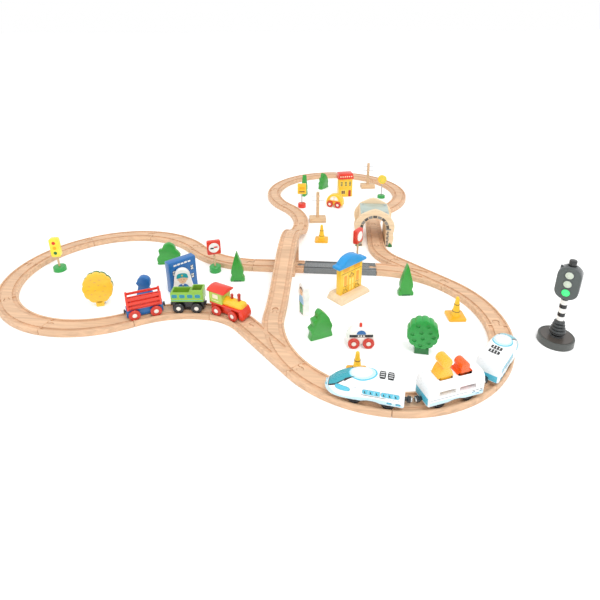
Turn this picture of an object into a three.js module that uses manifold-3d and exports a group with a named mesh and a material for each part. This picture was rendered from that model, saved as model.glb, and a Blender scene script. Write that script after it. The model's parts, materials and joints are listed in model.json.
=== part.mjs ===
// A wooden train set, laid out as three loops of grooved track with a bridge, a tunnel, two trains and their scenery.
// Millimetres, +Z up. The layout is drawn from the centre of the right-hand loop, and the finished group is then
// moved so that its origin is the middle of its footprint, on the floor.
import * as THREE from 'three';
import { mergeVertices } from 'three/addons/utils/BufferGeometryUtils.js';
import Module from 'manifold-3d';

const wasm = await Module();
wasm.setup();

// ---- track: the common wooden-railway standard
const TRACK_WIDTH = 40;
const TRACK_THICK = 12;
const GROOVE_WIDTH = 7;
const GROOVE_DEPTH = 3;
const GROOVE_OFFSET = 13; // from the track's centre line to a groove's
const LARGE_RADIUS = 202;
const SMALL_RADIUS = 110;
const SWITCH_LENGTH = 144;
const EIGHTH_TURN = 45;
const JOINT_GAP = 0.3; // between the end faces of two pieces
const PEG = { reach: 10, neck: 7, head: 5.5, bottom: 1, top: 11, play: 0.6, corners: 10 };
const ARC_STEPS = 3; // curve divisions in an eighth turn

// ---- layout: each loop's curves share the little play of the peg joints
const RIGHT_LOOP_STEP = 45.5; // degrees turned by each of its 4 curves
const WEST_LOOP_STEP = 44; // each of 6 curves
const NORTH_LOOP_STEP = 44.2; // each of 6 curves
const CROSSING_LENGTH = 160; // the grey plastic piece
const BROWN_LENGTH = 116;
const WEST_IN_TURN = 49;
const WEST_OUT_TURN = 43.5;
const NORTH_IN_TURN = 45.3;
const RAMP_LENGTH = 210.5;
const RAMP_RISE = 64;
const RAMP_STEPS = 10;

// ---- vehicles
const RAIL_Z = TRACK_THICK - GROOVE_DEPTH + 0.3; // where a wheel's rim rides
const WHEEL = { inner: 11.2, width: 3.6, axle: 1.5, sides: 12 };
const TOY_WHEEL = 10.5; // wheel radius of the painted wooden train
const BULLET_WHEEL = 10;
const CAR_WHEEL = 10;
const STEER = 0.5; // share of the curve's angle that a loose axle takes up
const BULLET_WIDTH = 37;
const BULLET_ROOF = 57;
const BULLET_SKIRT = 18.5;
const BULLET_FIRST = -97.5; // angle of the front car round the right-hand loop
const BULLET_STEP = 32.1; // degrees from one car to the next
const BULLET_AXLE = 6.6; // degrees from a car's middle to each axle
const TOY_SPACING = 82; // along the track from one wooden car to the next

const group = new THREE.Group();
const rad = THREE.MathUtils.degToRad;
const deg = THREE.MathUtils.radToDeg;

// ---- solids: three.js geometry in, joined and cut by manifold-3d
function toSolid(geometry) {
  const bare = geometry.clone();
  bare.deleteAttribute('normal');
  bare.deleteAttribute('uv');
  const merged = mergeVertices(bare, 1e-4);
  const kept = [];
  const corners = merged.index.array;
  for (let i = 0; i < corners.length; i += 3) {
    const [a, b, c] = [corners[i], corners[i + 1], corners[i + 2]];
    if (a !== b && b !== c && c !== a) kept.push(a, b, c);
  }
  const vertProperties = new Float32Array(merged.attributes.position.array);
  return new wasm.Manifold(new wasm.Mesh({ numProp: 3, vertProperties, triVerts: new Uint32Array(kept) }));
}

function toGeometry(solid) {
  const mesh = solid.getMesh();
  const geometry = new THREE.BufferGeometry();
  geometry.setAttribute('position', new THREE.BufferAttribute(new Float32Array(mesh.vertProperties), 3));
  geometry.setIndex(new THREE.BufferAttribute(new Uint32Array(mesh.triVerts), 1));
  geometry.computeVertexNormals();
  return geometry;
}

const join = (...solids) => solids.reduce((all, next) => all.add(next));
const cut = (solid, ...tools) => tools.reduce((left, tool) => left.subtract(tool), solid);

// A block between two corners.
function block([x0, y0, z0], [x1, y1, z1]) {
  const box = new THREE.BoxGeometry(x1 - x0, y1 - y0, z1 - z0);
  return toSolid(box.translate((x0 + x1) / 2, (y0 + y1) / 2, (z0 + z1) / 2));
}

// An outline drawn in X and Y, raised from z0 to z1.
function raise(shape, z0, z1, curveSegments = ARC_STEPS) {
  const solid = new THREE.ExtrudeGeometry(shape, { depth: z1 - z0, bevelEnabled: false, curveSegments });
  return toSolid(solid.translate(0, 0, z0));
}

// An outline drawn in X and Z, drawn out from y0 to y1.
function across(shape, y0, y1, curveSegments = 4) {
  const solid = new THREE.ExtrudeGeometry(shape, { depth: y1 - y0, bevelEnabled: false, curveSegments });
  return toSolid(solid.rotateX(Math.PI / 2).translate(0, y1, 0));
}

// An outline drawn in Y and Z, drawn out from x0 to x1.
function along(shape, x0, x1, curveSegments = 4) {
  const turn = new THREE.Matrix4().set(0, 0, 1, 0, 1, 0, 0, 0, 0, 1, 0, 0, 0, 0, 0, 1);
  const solid = new THREE.ExtrudeGeometry(shape, { depth: x1 - x0, bevelEnabled: false, curveSegments });
  return toSolid(solid.applyMatrix4(turn).translate(x0, 0, 0));
}

// An upright round bar or cone.
function round(x, y, z0, z1, bottom, top = bottom, sides = 16) {
  const bar = new THREE.CylinderGeometry(top, bottom, z1 - z0, sides).rotateX(Math.PI / 2);
  return toSolid(bar.translate(x, y, (z0 + z1) / 2));
}

function outline(points) {
  return new THREE.Shape(points.map(([a, b]) => new THREE.Vector2(a, b)));
}

function roundedRectangle(x0, y0, x1, y1, r) {
  const shape = new THREE.Shape();
  shape.moveTo(x0 + r, y0).lineTo(x1 - r, y0).absarc(x1 - r, y0 + r, r, -Math.PI / 2, 0, false);
  shape.lineTo(x1, y1 - r).absarc(x1 - r, y1 - r, r, 0, Math.PI / 2, false);
  shape.lineTo(x0 + r, y1).absarc(x0 + r, y1 - r, r, Math.PI / 2, Math.PI, false);
  shape.lineTo(x0, y0 + r).absarc(x0 + r, y0 + r, r, Math.PI, 1.5 * Math.PI, false);
  return shape;
}

// ---- poses along the track: a place on the floor and a heading in radians
const ahead = ({ x, y, heading }, distance, side = 0) => ({
  x: x + distance * Math.cos(heading) - side * Math.sin(heading),
  y: y + distance * Math.sin(heading) + side * Math.cos(heading),
  heading,
});

function aroundCurve(pose, radius, degrees) {
  const turn = Math.sign(degrees);
  const centre = ahead(pose, 0, turn * radius);
  const heading = pose.heading + rad(degrees);
  return { ...ahead({ ...centre, heading }, 0, -turn * radius), heading };
}

const reversed = (pose) => ({ ...pose, heading: pose.heading + Math.PI });

// The curve, and the straight after it, that bring a run of track to the joint it has to meet.
function closingCurve(from, to) {
  const turn = Math.atan2(Math.sin(to.heading - from.heading), Math.cos(to.heading - from.heading));
  const unit = aroundCurve(from, 1, deg(turn));
  const [ax, ay] = [unit.x - from.x, unit.y - from.y];
  const [bx, by] = [Math.cos(to.heading), Math.sin(to.heading)];
  const [dx, dy] = [to.x - from.x, to.y - from.y];
  const area = ax * by - ay * bx;
  return { radius: (dx * by - dy * bx) / area, degrees: deg(turn), straight: (ax * dy - ay * dx) / area };
}

// ---- track pieces: each starts at its own origin and runs towards +X
function ringPart(radius, halfWidth, offset, degrees, endTrim) {
  const turn = Math.sign(degrees);
  const from = -turn * Math.PI / 2 + turn * endTrim / radius;
  const to = -turn * Math.PI / 2 + rad(degrees) - turn * endTrim / radius;
  const shape = new THREE.Shape();
  shape.absarc(0, turn * radius, radius + offset + halfWidth, from, to, turn < 0);
  shape.absarc(0, turn * radius, radius + offset - halfWidth, to, from, turn > 0);
  return shape;
}

function curvedBody(radius, degrees) {
  const steps = Math.max(2, Math.round(ARC_STEPS * Math.abs(degrees) / EIGHTH_TURN));
  return raise(ringPart(radius, TRACK_WIDTH / 2, 0, degrees, JOINT_GAP / 2), 0, TRACK_THICK, steps);
}

function curvedGrooves(radius, degrees) {
  const steps = Math.max(2, Math.round(ARC_STEPS * Math.abs(degrees) / EIGHTH_TURN));
  const floor = TRACK_THICK - GROOVE_DEPTH;
  return [-1, 1].map((side) => raise(
    ringPart(radius, GROOVE_WIDTH / 2, side * GROOVE_OFFSET, degrees, -1), floor, TRACK_THICK + 1, steps));
}

function straightBody(from, to) {
  return block([from, -TRACK_WIDTH / 2, 0], [to, TRACK_WIDTH / 2, TRACK_THICK]);
}

function straightGrooves(from, to) {
  const floor = TRACK_THICK - GROOVE_DEPTH;
  return [-1, 1].map((side) => block(
    [from, side * GROOVE_OFFSET - GROOVE_WIDTH / 2, floor], [to, side * GROOVE_OFFSET + GROOVE_WIDTH / 2, TRACK_THICK + 1]));
}

// The dog-bone joint at an end of a piece. The pose faces out of the piece for a peg and into it for a socket.
function jointShape(pose, play, z0, z1) {
  const neck = block([-2, -PEG.neck / 2 - play, z0], [PEG.reach, PEG.neck / 2 + play, z1]);
  const head = round(PEG.reach, 0, z0, z1, PEG.head + play, PEG.head + play, PEG.corners);
  return join(neck, head).rotate([0, 0, deg(pose.heading)]).translate([pose.x, pose.y, 0]);
}

function withJoint(solid, kind, outward, lift = 0) {
  if (kind === 'peg') return join(solid, jointShape(outward, 0, lift + PEG.bottom, lift + PEG.top));
  return cut(solid, jointShape(reversed(outward), PEG.play, lift - 1, lift + TRACK_THICK + 1));
}

const START = { x: 0, y: 0, heading: 0 };

function straightTrack(length, start = 'socket', end = 'peg') {
  let solid = straightBody(JOINT_GAP / 2, length - JOINT_GAP / 2);
  solid = cut(solid, ...straightGrooves(-1, length + 1));
  solid = withJoint(solid, start, reversed(START));
  return withJoint(solid, end, ahead(START, length));
}

// A curve, or several in a row, with a short straight at its end where one is needed.
function curvedTrack(radius, degrees, { start = 'socket', end = 'peg', lead = 0 } = {}) {
  const bend = aroundCurve(START, radius, degrees);
  let solid = curvedBody(radius, degrees);
  if (lead > 0) {
    const tail = straightBody(-1, lead - JOINT_GAP / 2).rotate([0, 0, degrees]).translate([bend.x, bend.y, 0]);
    const grooves = straightGrooves(-1, lead + 1).map((groove) => groove.rotate([0, 0, degrees]));
    solid = cut(join(solid, tail), ...grooves.map((groove) => groove.translate([bend.x, bend.y, 0])));
  }
  solid = cut(solid, ...curvedGrooves(radius, degrees));
  solid = withJoint(solid, start, reversed(START));
  return withJoint(solid, end, ahead(bend, lead));
}

// A straight and a curve that part from one stem.
function switchTrack(turn, stem) {
  const bend = aroundCurve(START, LARGE_RADIUS, turn * EIGHTH_TURN);
  let solid = join(straightBody(JOINT_GAP / 2, SWITCH_LENGTH - JOINT_GAP / 2), curvedBody(LARGE_RADIUS, turn * EIGHTH_TURN));
  solid = cut(solid, ...straightGrooves(-1, SWITCH_LENGTH + 1), ...curvedGrooves(LARGE_RADIUS, turn * EIGHTH_TURN));
  solid = withJoint(solid, stem, reversed(START));
  solid = withJoint(solid, 'socket', ahead(START, SWITCH_LENGTH));
  return withJoint(solid, 'peg', bend);
}

// An S-shaped climb from the floor to the crest of the bridge.
function rampHeight(x) {
  const t = Math.min(Math.max(x / RAMP_LENGTH, 0), 1);
  return RAMP_RISE * t * t * (3 - 2 * t);
}

function rampSlice(from, to, below, above) {
  const points = [];
  for (let i = 0; i <= RAMP_STEPS; i++) {
    const x = from + (to - from) * i / RAMP_STEPS;
    points.push([x, rampHeight(x) + below]);
  }
  for (let i = RAMP_STEPS; i >= 0; i--) {
    const x = from + (to - from) * i / RAMP_STEPS;
    points.push([x, rampHeight(x) + above]);
  }
  return outline(points);
}

function rampTrack(low, high) {
  const [from, to] = [JOINT_GAP / 2, RAMP_LENGTH - JOINT_GAP / 2];
  let solid = across(rampSlice(from, to, 0, TRACK_THICK), -TRACK_WIDTH / 2, TRACK_WIDTH / 2);
  for (const side of [-1, 1]) {
    const middle = side * GROOVE_OFFSET;
    const groove = rampSlice(from - 1, to + 1, TRACK_THICK - GROOVE_DEPTH, TRACK_THICK + 9);
    solid = cut(solid, across(groove, middle - GROOVE_WIDTH / 2, middle + GROOVE_WIDTH / 2));
  }
  solid = withJoint(solid, low, reversed(START));
  return withJoint(solid, high, ahead(START, RAMP_LENGTH), RAMP_RISE);
}

// ---- adding meshes
function add(name, solid, colour, { parent = group, roughness = 0.45, metalness = 0, pose = START } = {}) {
  const material = new THREE.MeshStandardMaterial({ color: colour, roughness, metalness });
  const mesh = new THREE.Mesh(toGeometry(solid), material);
  mesh.name = name;
  mesh.position.set(pose.x, pose.y, pose.z ?? 0);
  mesh.rotation.z = pose.heading;
  parent.add(mesh);
  return mesh;
}

const WOOD = '#d8ab80';
const wooden = (name, solid, pose) => add(name, solid, WOOD, { roughness: 0.6, pose });

// ---- the layout
const stemA = { x: -LARGE_RADIUS * Math.SQRT1_2, y: -LARGE_RADIUS * Math.SQRT1_2, heading: rad(135) };
wooden('switch_front', switchTrack(-1, 'peg'), stemA);
const switchAStraight = ahead(stemA, SWITCH_LENGTH);
const switchACurve = aroundCurve(stemA, LARGE_RADIUS, -EIGHTH_TURN);

function layRun(name, pose, radius, step, count) {
  wooden(name, curvedTrack(radius, step * count), pose);
  return aroundCurve(pose, radius, step * count);
}

let here = reversed(stemA);
for (const name of ['right_loop_south', 'right_loop_east']) {
  here = layRun(name, here, LARGE_RADIUS, RIGHT_LOOP_STEP, 2);
}
const stemB = here;
wooden('switch_rear', switchTrack(1, 'socket'), stemB);
const switchBStraight = ahead(stemB, SWITCH_LENGTH);

here = aroundCurve(stemB, LARGE_RADIUS, EIGHTH_TURN);
add('crossing_track', straightTrack(CROSSING_LENGTH), '#6f7678', { roughness: 0.4, pose: here });
const crossing = here;
here = ahead(here, CROSSING_LENGTH);
wooden('short_straight', straightTrack(BROWN_LENGTH), here);
here = layRun('west_curve_in', ahead(here, BROWN_LENGTH), LARGE_RADIUS, -WEST_IN_TURN, 1);
for (const name of ['west_loop_north', 'west_loop_west', 'west_loop_south']) {
  here = layRun(name, here, LARGE_RADIUS, WEST_LOOP_STEP, 2);
}
const westOutStart = here;
here = layRun('west_curve_out', here, LARGE_RADIUS, -WEST_OUT_TURN, 1);
const westCloseStart = here;
const westClose = closingCurve(here, reversed(switchAStraight));
wooden('west_curve_small', curvedTrack(westClose.radius, westClose.degrees, { lead: westClose.straight }), here);

wooden('bridge_ramp_front', rampTrack('socket', 'peg'), switchACurve);
here = ahead(switchACurve, 2 * RAMP_LENGTH);
wooden('bridge_ramp_rear', rampTrack('peg', 'socket'), reversed(here));
here = layRun('north_curve_in', here, LARGE_RADIUS, NORTH_IN_TURN, 1);
for (const name of ['north_loop_west', 'north_loop_north', 'north_loop_east']) {
  here = layRun(name, here, LARGE_RADIUS, -NORTH_LOOP_STEP, 2);
}
wooden('north_curve_small', curvedTrack(SMALL_RADIUS, -EIGHTH_TURN, { start: 'peg', end: 'socket' }), switchBStraight);
const tunnelMouth = aroundCurve(switchBStraight, SMALL_RADIUS, -EIGHTH_TURN);
const northClose = closingCurve(here, reversed(tunnelMouth));
here = layRun('north_curve_out', here, northClose.radius, northClose.degrees, 1);
wooden('tunnel_straight', straightTrack(northClose.straight), here);

// ---- the bridge's pier: two legs and a cap astride the crossing track, hollowed to the ramps above it
function bridgePier() {
  const LEG = 12;
  const INNER = TRACK_WIDTH / 2 + 6;
  const WIDTH = TRACK_WIDTH - 4;
  const CAP_BOTTOM = 46;
  const crest = RAMP_LENGTH;
  const middle = crossing.y - switchACurve.y - 6;
  const body = block([middle - INNER - LEG, -WIDTH / 2, 0], [middle + INNER + LEG, WIDTH / 2, RAMP_RISE - JOINT_GAP]);
  const gate = block([middle - INNER, -WIDTH, -1], [middle + INNER, WIDTH, CAP_BOTTOM]);
  const above = rampSlice(0, crest, -JOINT_GAP, RAMP_RISE + TRACK_THICK);
  const rearAbove = outline(above.getPoints().map((p) => [2 * crest - p.x, p.y]));
  return cut(body, gate, across(above, -WIDTH, WIDTH), across(rearAbove, -WIDTH, WIDTH));
}
wooden('bridge_pier', bridgePier(), switchACurve);

// ---- the tunnel: two wavy-edged end plates and the vault between them
function tunnelSolid() {
  const LENGTH = 92;
  const PLATE = 9;
  const HALF = 48;
  const GATE = { half: 28, spring: 48 };
  const plate = new THREE.Shape();
  const lobes = [[-45, 26], [-48, 52], [-37, 74], [-20, 92], [0, 99], [20, 92], [37, 74], [48, 52], [45, 26]];
  plate.moveTo(HALF, 0);
  plate.lineTo(-HALF, 0);
  plate.splineThru(lobes.map(([x, z]) => new THREE.Vector2(x, z)));
  plate.lineTo(HALF, 0);
  const hall = outline([[36.5, 0], [36.5, 78], [33, 84], [-33, 84], [-36.5, 78], [-36.5, 0]]);
  const gate = new THREE.Shape();
  gate.moveTo(GATE.half, -1).lineTo(GATE.half, GATE.spring);
  gate.absarc(0, GATE.spring, GATE.half, 0, Math.PI, false);
  gate.lineTo(-GATE.half, -1);
  const solid = join(
    across(plate, 0, PLATE, 2), across(hall, PLATE - 1, LENGTH - PLATE + 1), across(plate, LENGTH - PLATE, LENGTH, 2));
  return cut(solid, across(gate, -1, LENGTH + 1));
}
const tunnelPlace = { x: tunnelMouth.x - 6, y: tunnelMouth.y + 8, heading: rad(1.8) };
add('tunnel', tunnelSolid(), '#e2c49c', { roughness: 0.6, pose: tunnelPlace });

// ---- wheels: two discs on one axle, which lies along the car's Y
function wheelset(radius) {
  const outer = WHEEL.inner + WHEEL.width;
  const profile = [[0, -outer], [radius, -outer], [radius, -WHEEL.inner], [WHEEL.axle, -WHEEL.inner],
    [WHEEL.axle, WHEEL.inner], [radius, WHEEL.inner], [radius, outer], [0, outer]];
  return toSolid(new THREE.LatheGeometry(profile.map(([r, y]) => new THREE.Vector2(r, y)), WHEEL.sides));
}

function axleSlot(x, z, half, bottom) {
  return block([x - half, -TRACK_WIDTH, bottom], [x + half, TRACK_WIDTH, z + half]);
}

// A car on a curve. Its pivot is the curve's centre, and a positive turn of the curve is anticlockwise, so a car
// that drives clockwise faces the curve's -Y.
function curveGroup(name, x, y) {
  const pivot = new THREE.Group();
  pivot.name = name;
  pivot.position.set(x, y, 0);
  group.add(pivot);
  return pivot;
}

function putCar(pivot, radius, angle, name, solid, colour, axleAngle, wheelRadius, wheelColour) {
  const place = new THREE.Group();
  place.rotation.z = rad(angle);
  pivot.add(place);
  const facing = { x: radius, y: 0, heading: -Math.PI / 2 };
  add(name, solid, colour, { parent: place, pose: facing });
  for (const [end, side] of [['front', -1], ['rear', 1]]) {
    const spoke = new THREE.Group();
    spoke.rotation.z = rad(side * axleAngle);
    place.add(spoke);
    const heading = -Math.PI / 2 - rad(side * axleAngle * (1 - STEER));
    add(`${name}_${end}_wheels`, wheelset(wheelRadius), wheelColour,
      { parent: spoke, pose: { x: radius, y: 0, z: RAIL_Z + wheelRadius, heading } });
  }
  return place;
}

// ---- the wooden train's cars: +X is forwards
const CHASSIS_HALF = 8; // clears the wheels' inner faces
const INSIDE_WHEELS = 8.6;
const CAB_HALF = 13;
const WAGON_HALF = 12.5;
const DECK = 33;

function toyChassis(x0, x1, axles, top) {
  const beam = block([x0, -CHASSIS_HALF, 14], [x1, CHASSIS_HALF, top]);
  return cut(beam, ...axles.map((x) => axleSlot(x, RAIL_Z + TOY_WHEEL, 2.8, 10)));
}

function hitch(x, direction, z) {
  const tip = x + direction * 4;
  return block([Math.min(x - direction, tip), -4, z - 4], [Math.max(x - direction, tip), 4, z + 4]);
}

function steamEngine(axle) {
  const cab = cut(block([-36, -CAB_HALF, DECK - 1], [-5.5, CAB_HALF, 59]), block([-29, -20, 42], [-14, 20, 53]));
  const roofArc = new THREE.Shape();
  roofArc.moveTo(-15, 57.5).lineTo(15, 57.5).lineTo(15, 60);
  roofArc.quadraticCurveTo(0, 70, -15, 60);
  const boiler = join(
    block([-6, -9.5, DECK - 1], [36, 9.5, 38]),
    toSolid(new THREE.CylinderGeometry(9.5, 9.5, 42, 16).rotateZ(Math.PI / 2).translate(15, 0, 38)));
  const front = across(outline([[32, 15], [41.5, 15], [41.5, 24], [37, 36], [32, 36]]), -CAB_HALF, CAB_HALF);
  const body = cut(
    block([-36, -INSIDE_WHEELS, 15], [34, INSIDE_WHEELS, DECK]),
    ...[-axle, axle].map((x) => axleSlot(x, RAIL_Z + TOY_WHEEL, 2.8, 10)));
  return join(
    body, block([-36, -CAB_HALF, DECK - 2], [37, CAB_HALF, DECK + 2]), front, cab,
    along(roofArc, -39, 1), boiler, round(9, 0, 44, 57, 2.6, 2.6, 10), round(25, 0, 44, 61.5, 3, 3, 10),
    hitch(-36, -1, 24));
}

function greenWagon(axle) {
  const tub = join(
    block([-30.5, -WAGON_HALF, DECK], [30.5, WAGON_HALF, 52]), block([6.5, -WAGON_HALF, 50], [30.5, WAGON_HALF, 57]));
  const hollow = join(block([-27, -9, DECK + 5], [4, 9, 80]), block([10, -9, 47], [27, 9, 80]));
  return join(
    toyChassis(-30, 30, [-axle, axle], DECK - 2), block([-29, -11, DECK - 2], [29, 11, DECK + 1]),
    cut(tub, hollow), hitch(-30, -1, 24), hitch(30, 1, 24));
}

function redWagon(axle) {
  const rails = [[31, 36.5], [41, 46], [50.5, 56]];
  const sides = rails.flatMap(([low, high]) => [-1, 1].map((side) => block(
    [-31, Math.min(side * WAGON_HALF, side * 10), low], [31, Math.max(side * WAGON_HALF, side * 10), high])));
  const ends = [-1, 1].map((end) => block(
    [Math.min(end * 31, end * 27), -WAGON_HALF, 31], [Math.max(end * 31, end * 27), WAGON_HALF, 57.5]));
  return join(
    toyChassis(-33, 33, [-axle, axle], 31), block([-31, -CHASSIS_HALF, 28], [31, CHASSIS_HALF, 33]),
    block([-31, -WAGON_HALF, 31], [31, WAGON_HALF, 35]), ...sides, ...ends,
    hitch(-33, -1, 24), hitch(33, 1, 24));
}

const TOY_CARS = [
  { name: 'steam_engine', make: steamEngine, colour: '#d9331c', axle: 20, wheels: '#d9331c' },
  { name: 'green_wagon', make: greenWagon, colour: '#7fb23f', axle: 17.5, wheels: '#1b1b1b' },
  { name: 'red_wagon', make: redWagon, colour: '#d9331c', axle: 20, wheels: '#d9331c' },
];
const outCentre = ahead(westOutStart, 0, -LARGE_RADIUS);
const smallCentre = ahead(westCloseStart, 0, -westClose.radius);
const outPivot = curveGroup('west_out_pivot', outCentre.x, outCentre.y);
const smallPivot = curveGroup('west_small_pivot', smallCentre.x, smallCentre.y);
const ENGINE_PAST_JOINT = 35.6; // along the small curve, from its start to the engine's middle
const outArc = rad(WEST_OUT_TURN) * LARGE_RADIUS;
TOY_CARS.forEach(({ name, make, colour, axle, wheels }, index) => {
  const back = ENGINE_PAST_JOINT - index * TOY_SPACING;
  const onSmall = index === 0;
  const radius = onSmall ? westClose.radius : LARGE_RADIUS;
  const start = deg(onSmall ? westCloseStart.heading : westOutStart.heading) + 90;
  const travelled = onSmall ? back : outArc + back;
  const angle = start - deg(travelled / radius);
  const axleAngle = deg(Math.atan(axle / radius));
  putCar(onSmall ? smallPivot : outPivot, radius, angle, name, make(axle), colour, axleAngle, TOY_WHEEL, wheels);
});

// ---- the bullet train: streamlined ends and a middle car with two lift-out passengers
const BULLET_NOSE = 68;
const BULLET_TAIL = -46;
const CAR_HALF = 45;
const AXLE_X = LARGE_RADIUS * Math.sin(rad(BULLET_AXLE));

function bulletSection() {
  const half = BULLET_WIDTH / 2;
  const shape = new THREE.Shape();
  shape.moveTo(-half, BULLET_SKIRT).lineTo(half, BULLET_SKIRT).lineTo(half, BULLET_ROOF - 16);
  shape.bezierCurveTo(half, BULLET_ROOF - 4, half - 6, BULLET_ROOF, 6, BULLET_ROOF);
  shape.lineTo(-6, BULLET_ROOF);
  shape.bezierCurveTo(6 - half, BULLET_ROOF, -half, BULLET_ROOF - 4, -half, BULLET_ROOF - 16);
  return shape;
}

function wheelWells(solid) {
  for (const end of [-1, 1]) {
    const x = end * AXLE_X;
    for (const side of [-1, 1]) {
      const [near, far] = [side * 8.4, side * 17.3];
      solid = cut(solid, block([x - 12, Math.min(near, far), 5], [x + 12, Math.max(near, far), 31]));
    }
    solid = cut(solid, axleSlot(x, RAIL_Z + BULLET_WHEEL, 2.6, 5));
  }
  return solid;
}

function bulletEnd() {
  const side = new THREE.Shape();
  side.moveTo(BULLET_TAIL, BULLET_SKIRT).lineTo(BULLET_NOSE - 8, BULLET_SKIRT);
  side.bezierCurveTo(BULLET_NOSE + 2, BULLET_SKIRT + 3, BULLET_NOSE + 2, BULLET_SKIRT + 20, BULLET_NOSE - 16, 46);
  side.bezierCurveTo(38, 53, 26, BULLET_ROOF, 8, BULLET_ROOF);
  side.lineTo(BULLET_TAIL, BULLET_ROOF);
  const plan = new THREE.Shape();
  const half = BULLET_WIDTH / 2;
  plan.moveTo(BULLET_TAIL, -half).lineTo(24, -half);
  plan.bezierCurveTo(BULLET_NOSE - 6, -half, BULLET_NOSE, -half + 6, BULLET_NOSE, 0);
  plan.bezierCurveTo(BULLET_NOSE, half - 6, BULLET_NOSE - 6, half, 24, half);
  plan.lineTo(BULLET_TAIL, half);
  const body = along(bulletSection(), BULLET_TAIL, BULLET_NOSE, 4)
    .intersect(across(side, -half, half, 5)).intersect(raise(plan, 0, BULLET_ROOF + 1, 5));
  return join(wheelWells(body), hitch(BULLET_TAIL, -1, 22));
}

const SEAT = { x: 15.5, half: 11, side: 11, floor: 30 };

function bulletWagon() {
  let solid = wheelWells(along(bulletSection(), -CAR_HALF, CAR_HALF, 4));
  for (const end of [-1, 1]) {
    const x = end * SEAT.x;
    solid = cut(solid, block([x - SEAT.half, -SEAT.side, SEAT.floor], [x + SEAT.half, SEAT.side, BULLET_ROOF + 1]));
    solid = cut(solid, block([x - SEAT.half + 1, -BULLET_WIDTH, 36], [x + SEAT.half - 1, BULLET_WIDTH, 43]));
  }
  return join(solid, hitch(-CAR_HALF, -1, 22), hitch(CAR_HALF, 1, 22));
}

// A passenger is a flat-sided figure: a stem in its seat, a flared coat that rests on the roof, and a round head.
function passenger(neckZ, headZ, headRadius, neckHalf) {
  const coat = BULLET_ROOF + JOINT_GAP;
  const shape = new THREE.Shape();
  shape.moveTo(-9, SEAT.floor + 1).lineTo(9, SEAT.floor + 1).lineTo(9, coat).lineTo(13, coat);
  shape.quadraticCurveTo(9, neckZ - 6, neckHalf, neckZ);
  const lift = Math.asin(Math.min(1, (headZ - neckZ) / headRadius));
  shape.absarc(0, headZ, headRadius, -lift, Math.PI + lift, false);
  shape.quadraticCurveTo(-9, neckZ - 6, -13, coat);
  shape.lineTo(-9, coat);
  return across(shape, -9.5, 9.5, 4);
}

const bulletPivot = curveGroup('right_loop_pivot', 0, 0);
const bulletAngle = (index) => BULLET_FIRST + index * BULLET_STEP;
const WHITE = '#eef1f3';
putCar(bulletPivot, LARGE_RADIUS, bulletAngle(0), 'bullet_engine', bulletEnd(), WHITE, BULLET_AXLE, BULLET_WHEEL, '#1b1b1b');
const wagonPlace = putCar(
  bulletPivot, LARGE_RADIUS, bulletAngle(1), 'bullet_wagon', bulletWagon(), WHITE, BULLET_AXLE, BULLET_WHEEL, '#1b1b1b');
// The tail car is the same moulding as the engine, the other way round.
const tail = bulletEnd().rotate([0, 0, 180]);
putCar(bulletPivot, LARGE_RADIUS, bulletAngle(2), 'bullet_tail', tail, WHITE, BULLET_AXLE, BULLET_WHEEL, '#1b1b1b');
const seatPose = (x) => ({ x: LARGE_RADIUS, y: -x, heading: -Math.PI / 2 });
add('passenger_yellow', passenger(73.5, 80.5, 8.5, 6), '#f7b32b', { parent: wagonPlace, pose: seatPose(SEAT.x) });
add('passenger_orange', passenger(62.5, 67, 7.5, 6.3), '#f0641e', { parent: wagonPlace, pose: seatPose(-SEAT.x) });

// ---- scenery: each item is drawn standing at its own origin and facing -Y
const stands = (x, y, degrees = 0) => ({ x, y, heading: rad(degrees) });

function signalPost() {
  const head = across(roundedRectangle(-17.8, 88, 17.8, 147, 15.5), -10, 10, 4);
  return join(
    round(0, 0, 0, 12.5, 29.2, 29.2, 24), round(0, 0, 12, 18, 13, 11, 16), round(0, 0, 17, 41, 13, 8, 16),
    round(0, 0, 40, 100, 5.6, 5.6, 12), head);
}
const signalPlace = stands(294, -15, -31);
const buttonWell = round(0, 0, 143.6, 148, 6.5, 6.5, 12);
add('signal_post', cut(signalPost(), buttonWell), '#3a3f42', { pose: signalPlace });
add('signal_button', round(0, 0, 146.1, 157.5, 6, 6, 12), '#202224', { pose: signalPlace });

function toyCar(body, lamp) {
  const axles = [-12.5, 12.5];
  const shell = cut(body, ...axles.map((x) => axleSlot(x, CAR_WHEEL, 2.2, -1)));
  return lamp ? join(shell, lamp) : shell;
}

function domeBody(half, base, top) {
  const shape = new THREE.Shape();
  shape.moveTo(-half, base).lineTo(half, base);
  shape.bezierCurveTo(half + 1, (base + top) / 2, half * 0.7, top, 0, top);
  shape.bezierCurveTo(-half * 0.7, top, -half - 1, (base + top) / 2, -half, base);
  return across(shape, -WHEEL.inner + 0.7, WHEEL.inner - 0.7, 5);
}

function parkCar(name, solid, colour, pose) {
  const park = new THREE.Group();
  park.position.set(pose.x, pose.y, 0);
  park.rotation.z = pose.heading;
  group.add(park);
  add(name, solid, colour, { parent: park });
  for (const [end, x] of [['front', 12.5], ['rear', -12.5]]) {
    add(`${name}_${end}_wheels`, wheelset(CAR_WHEEL), '#d9331c', { parent: park, pose: { x, y: 0, z: CAR_WHEEL, heading: 0 } });
  }
}
parkCar('police_car', toyCar(domeBody(24, 7, 36), round(0, 0, 35, 43, 2.6, 2.6, 10)), WHITE, stands(-42, -60.4, 7));
parkCar('taxi', toyCar(domeBody(26, 7, 40)), '#f4c22b', stands(-117.8, 604.8, -18));

add('police_station', block([-30, -9, 0], [30, 9, 70]), '#1573b4', { pose: stands(-412, 86, 48) });

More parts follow.
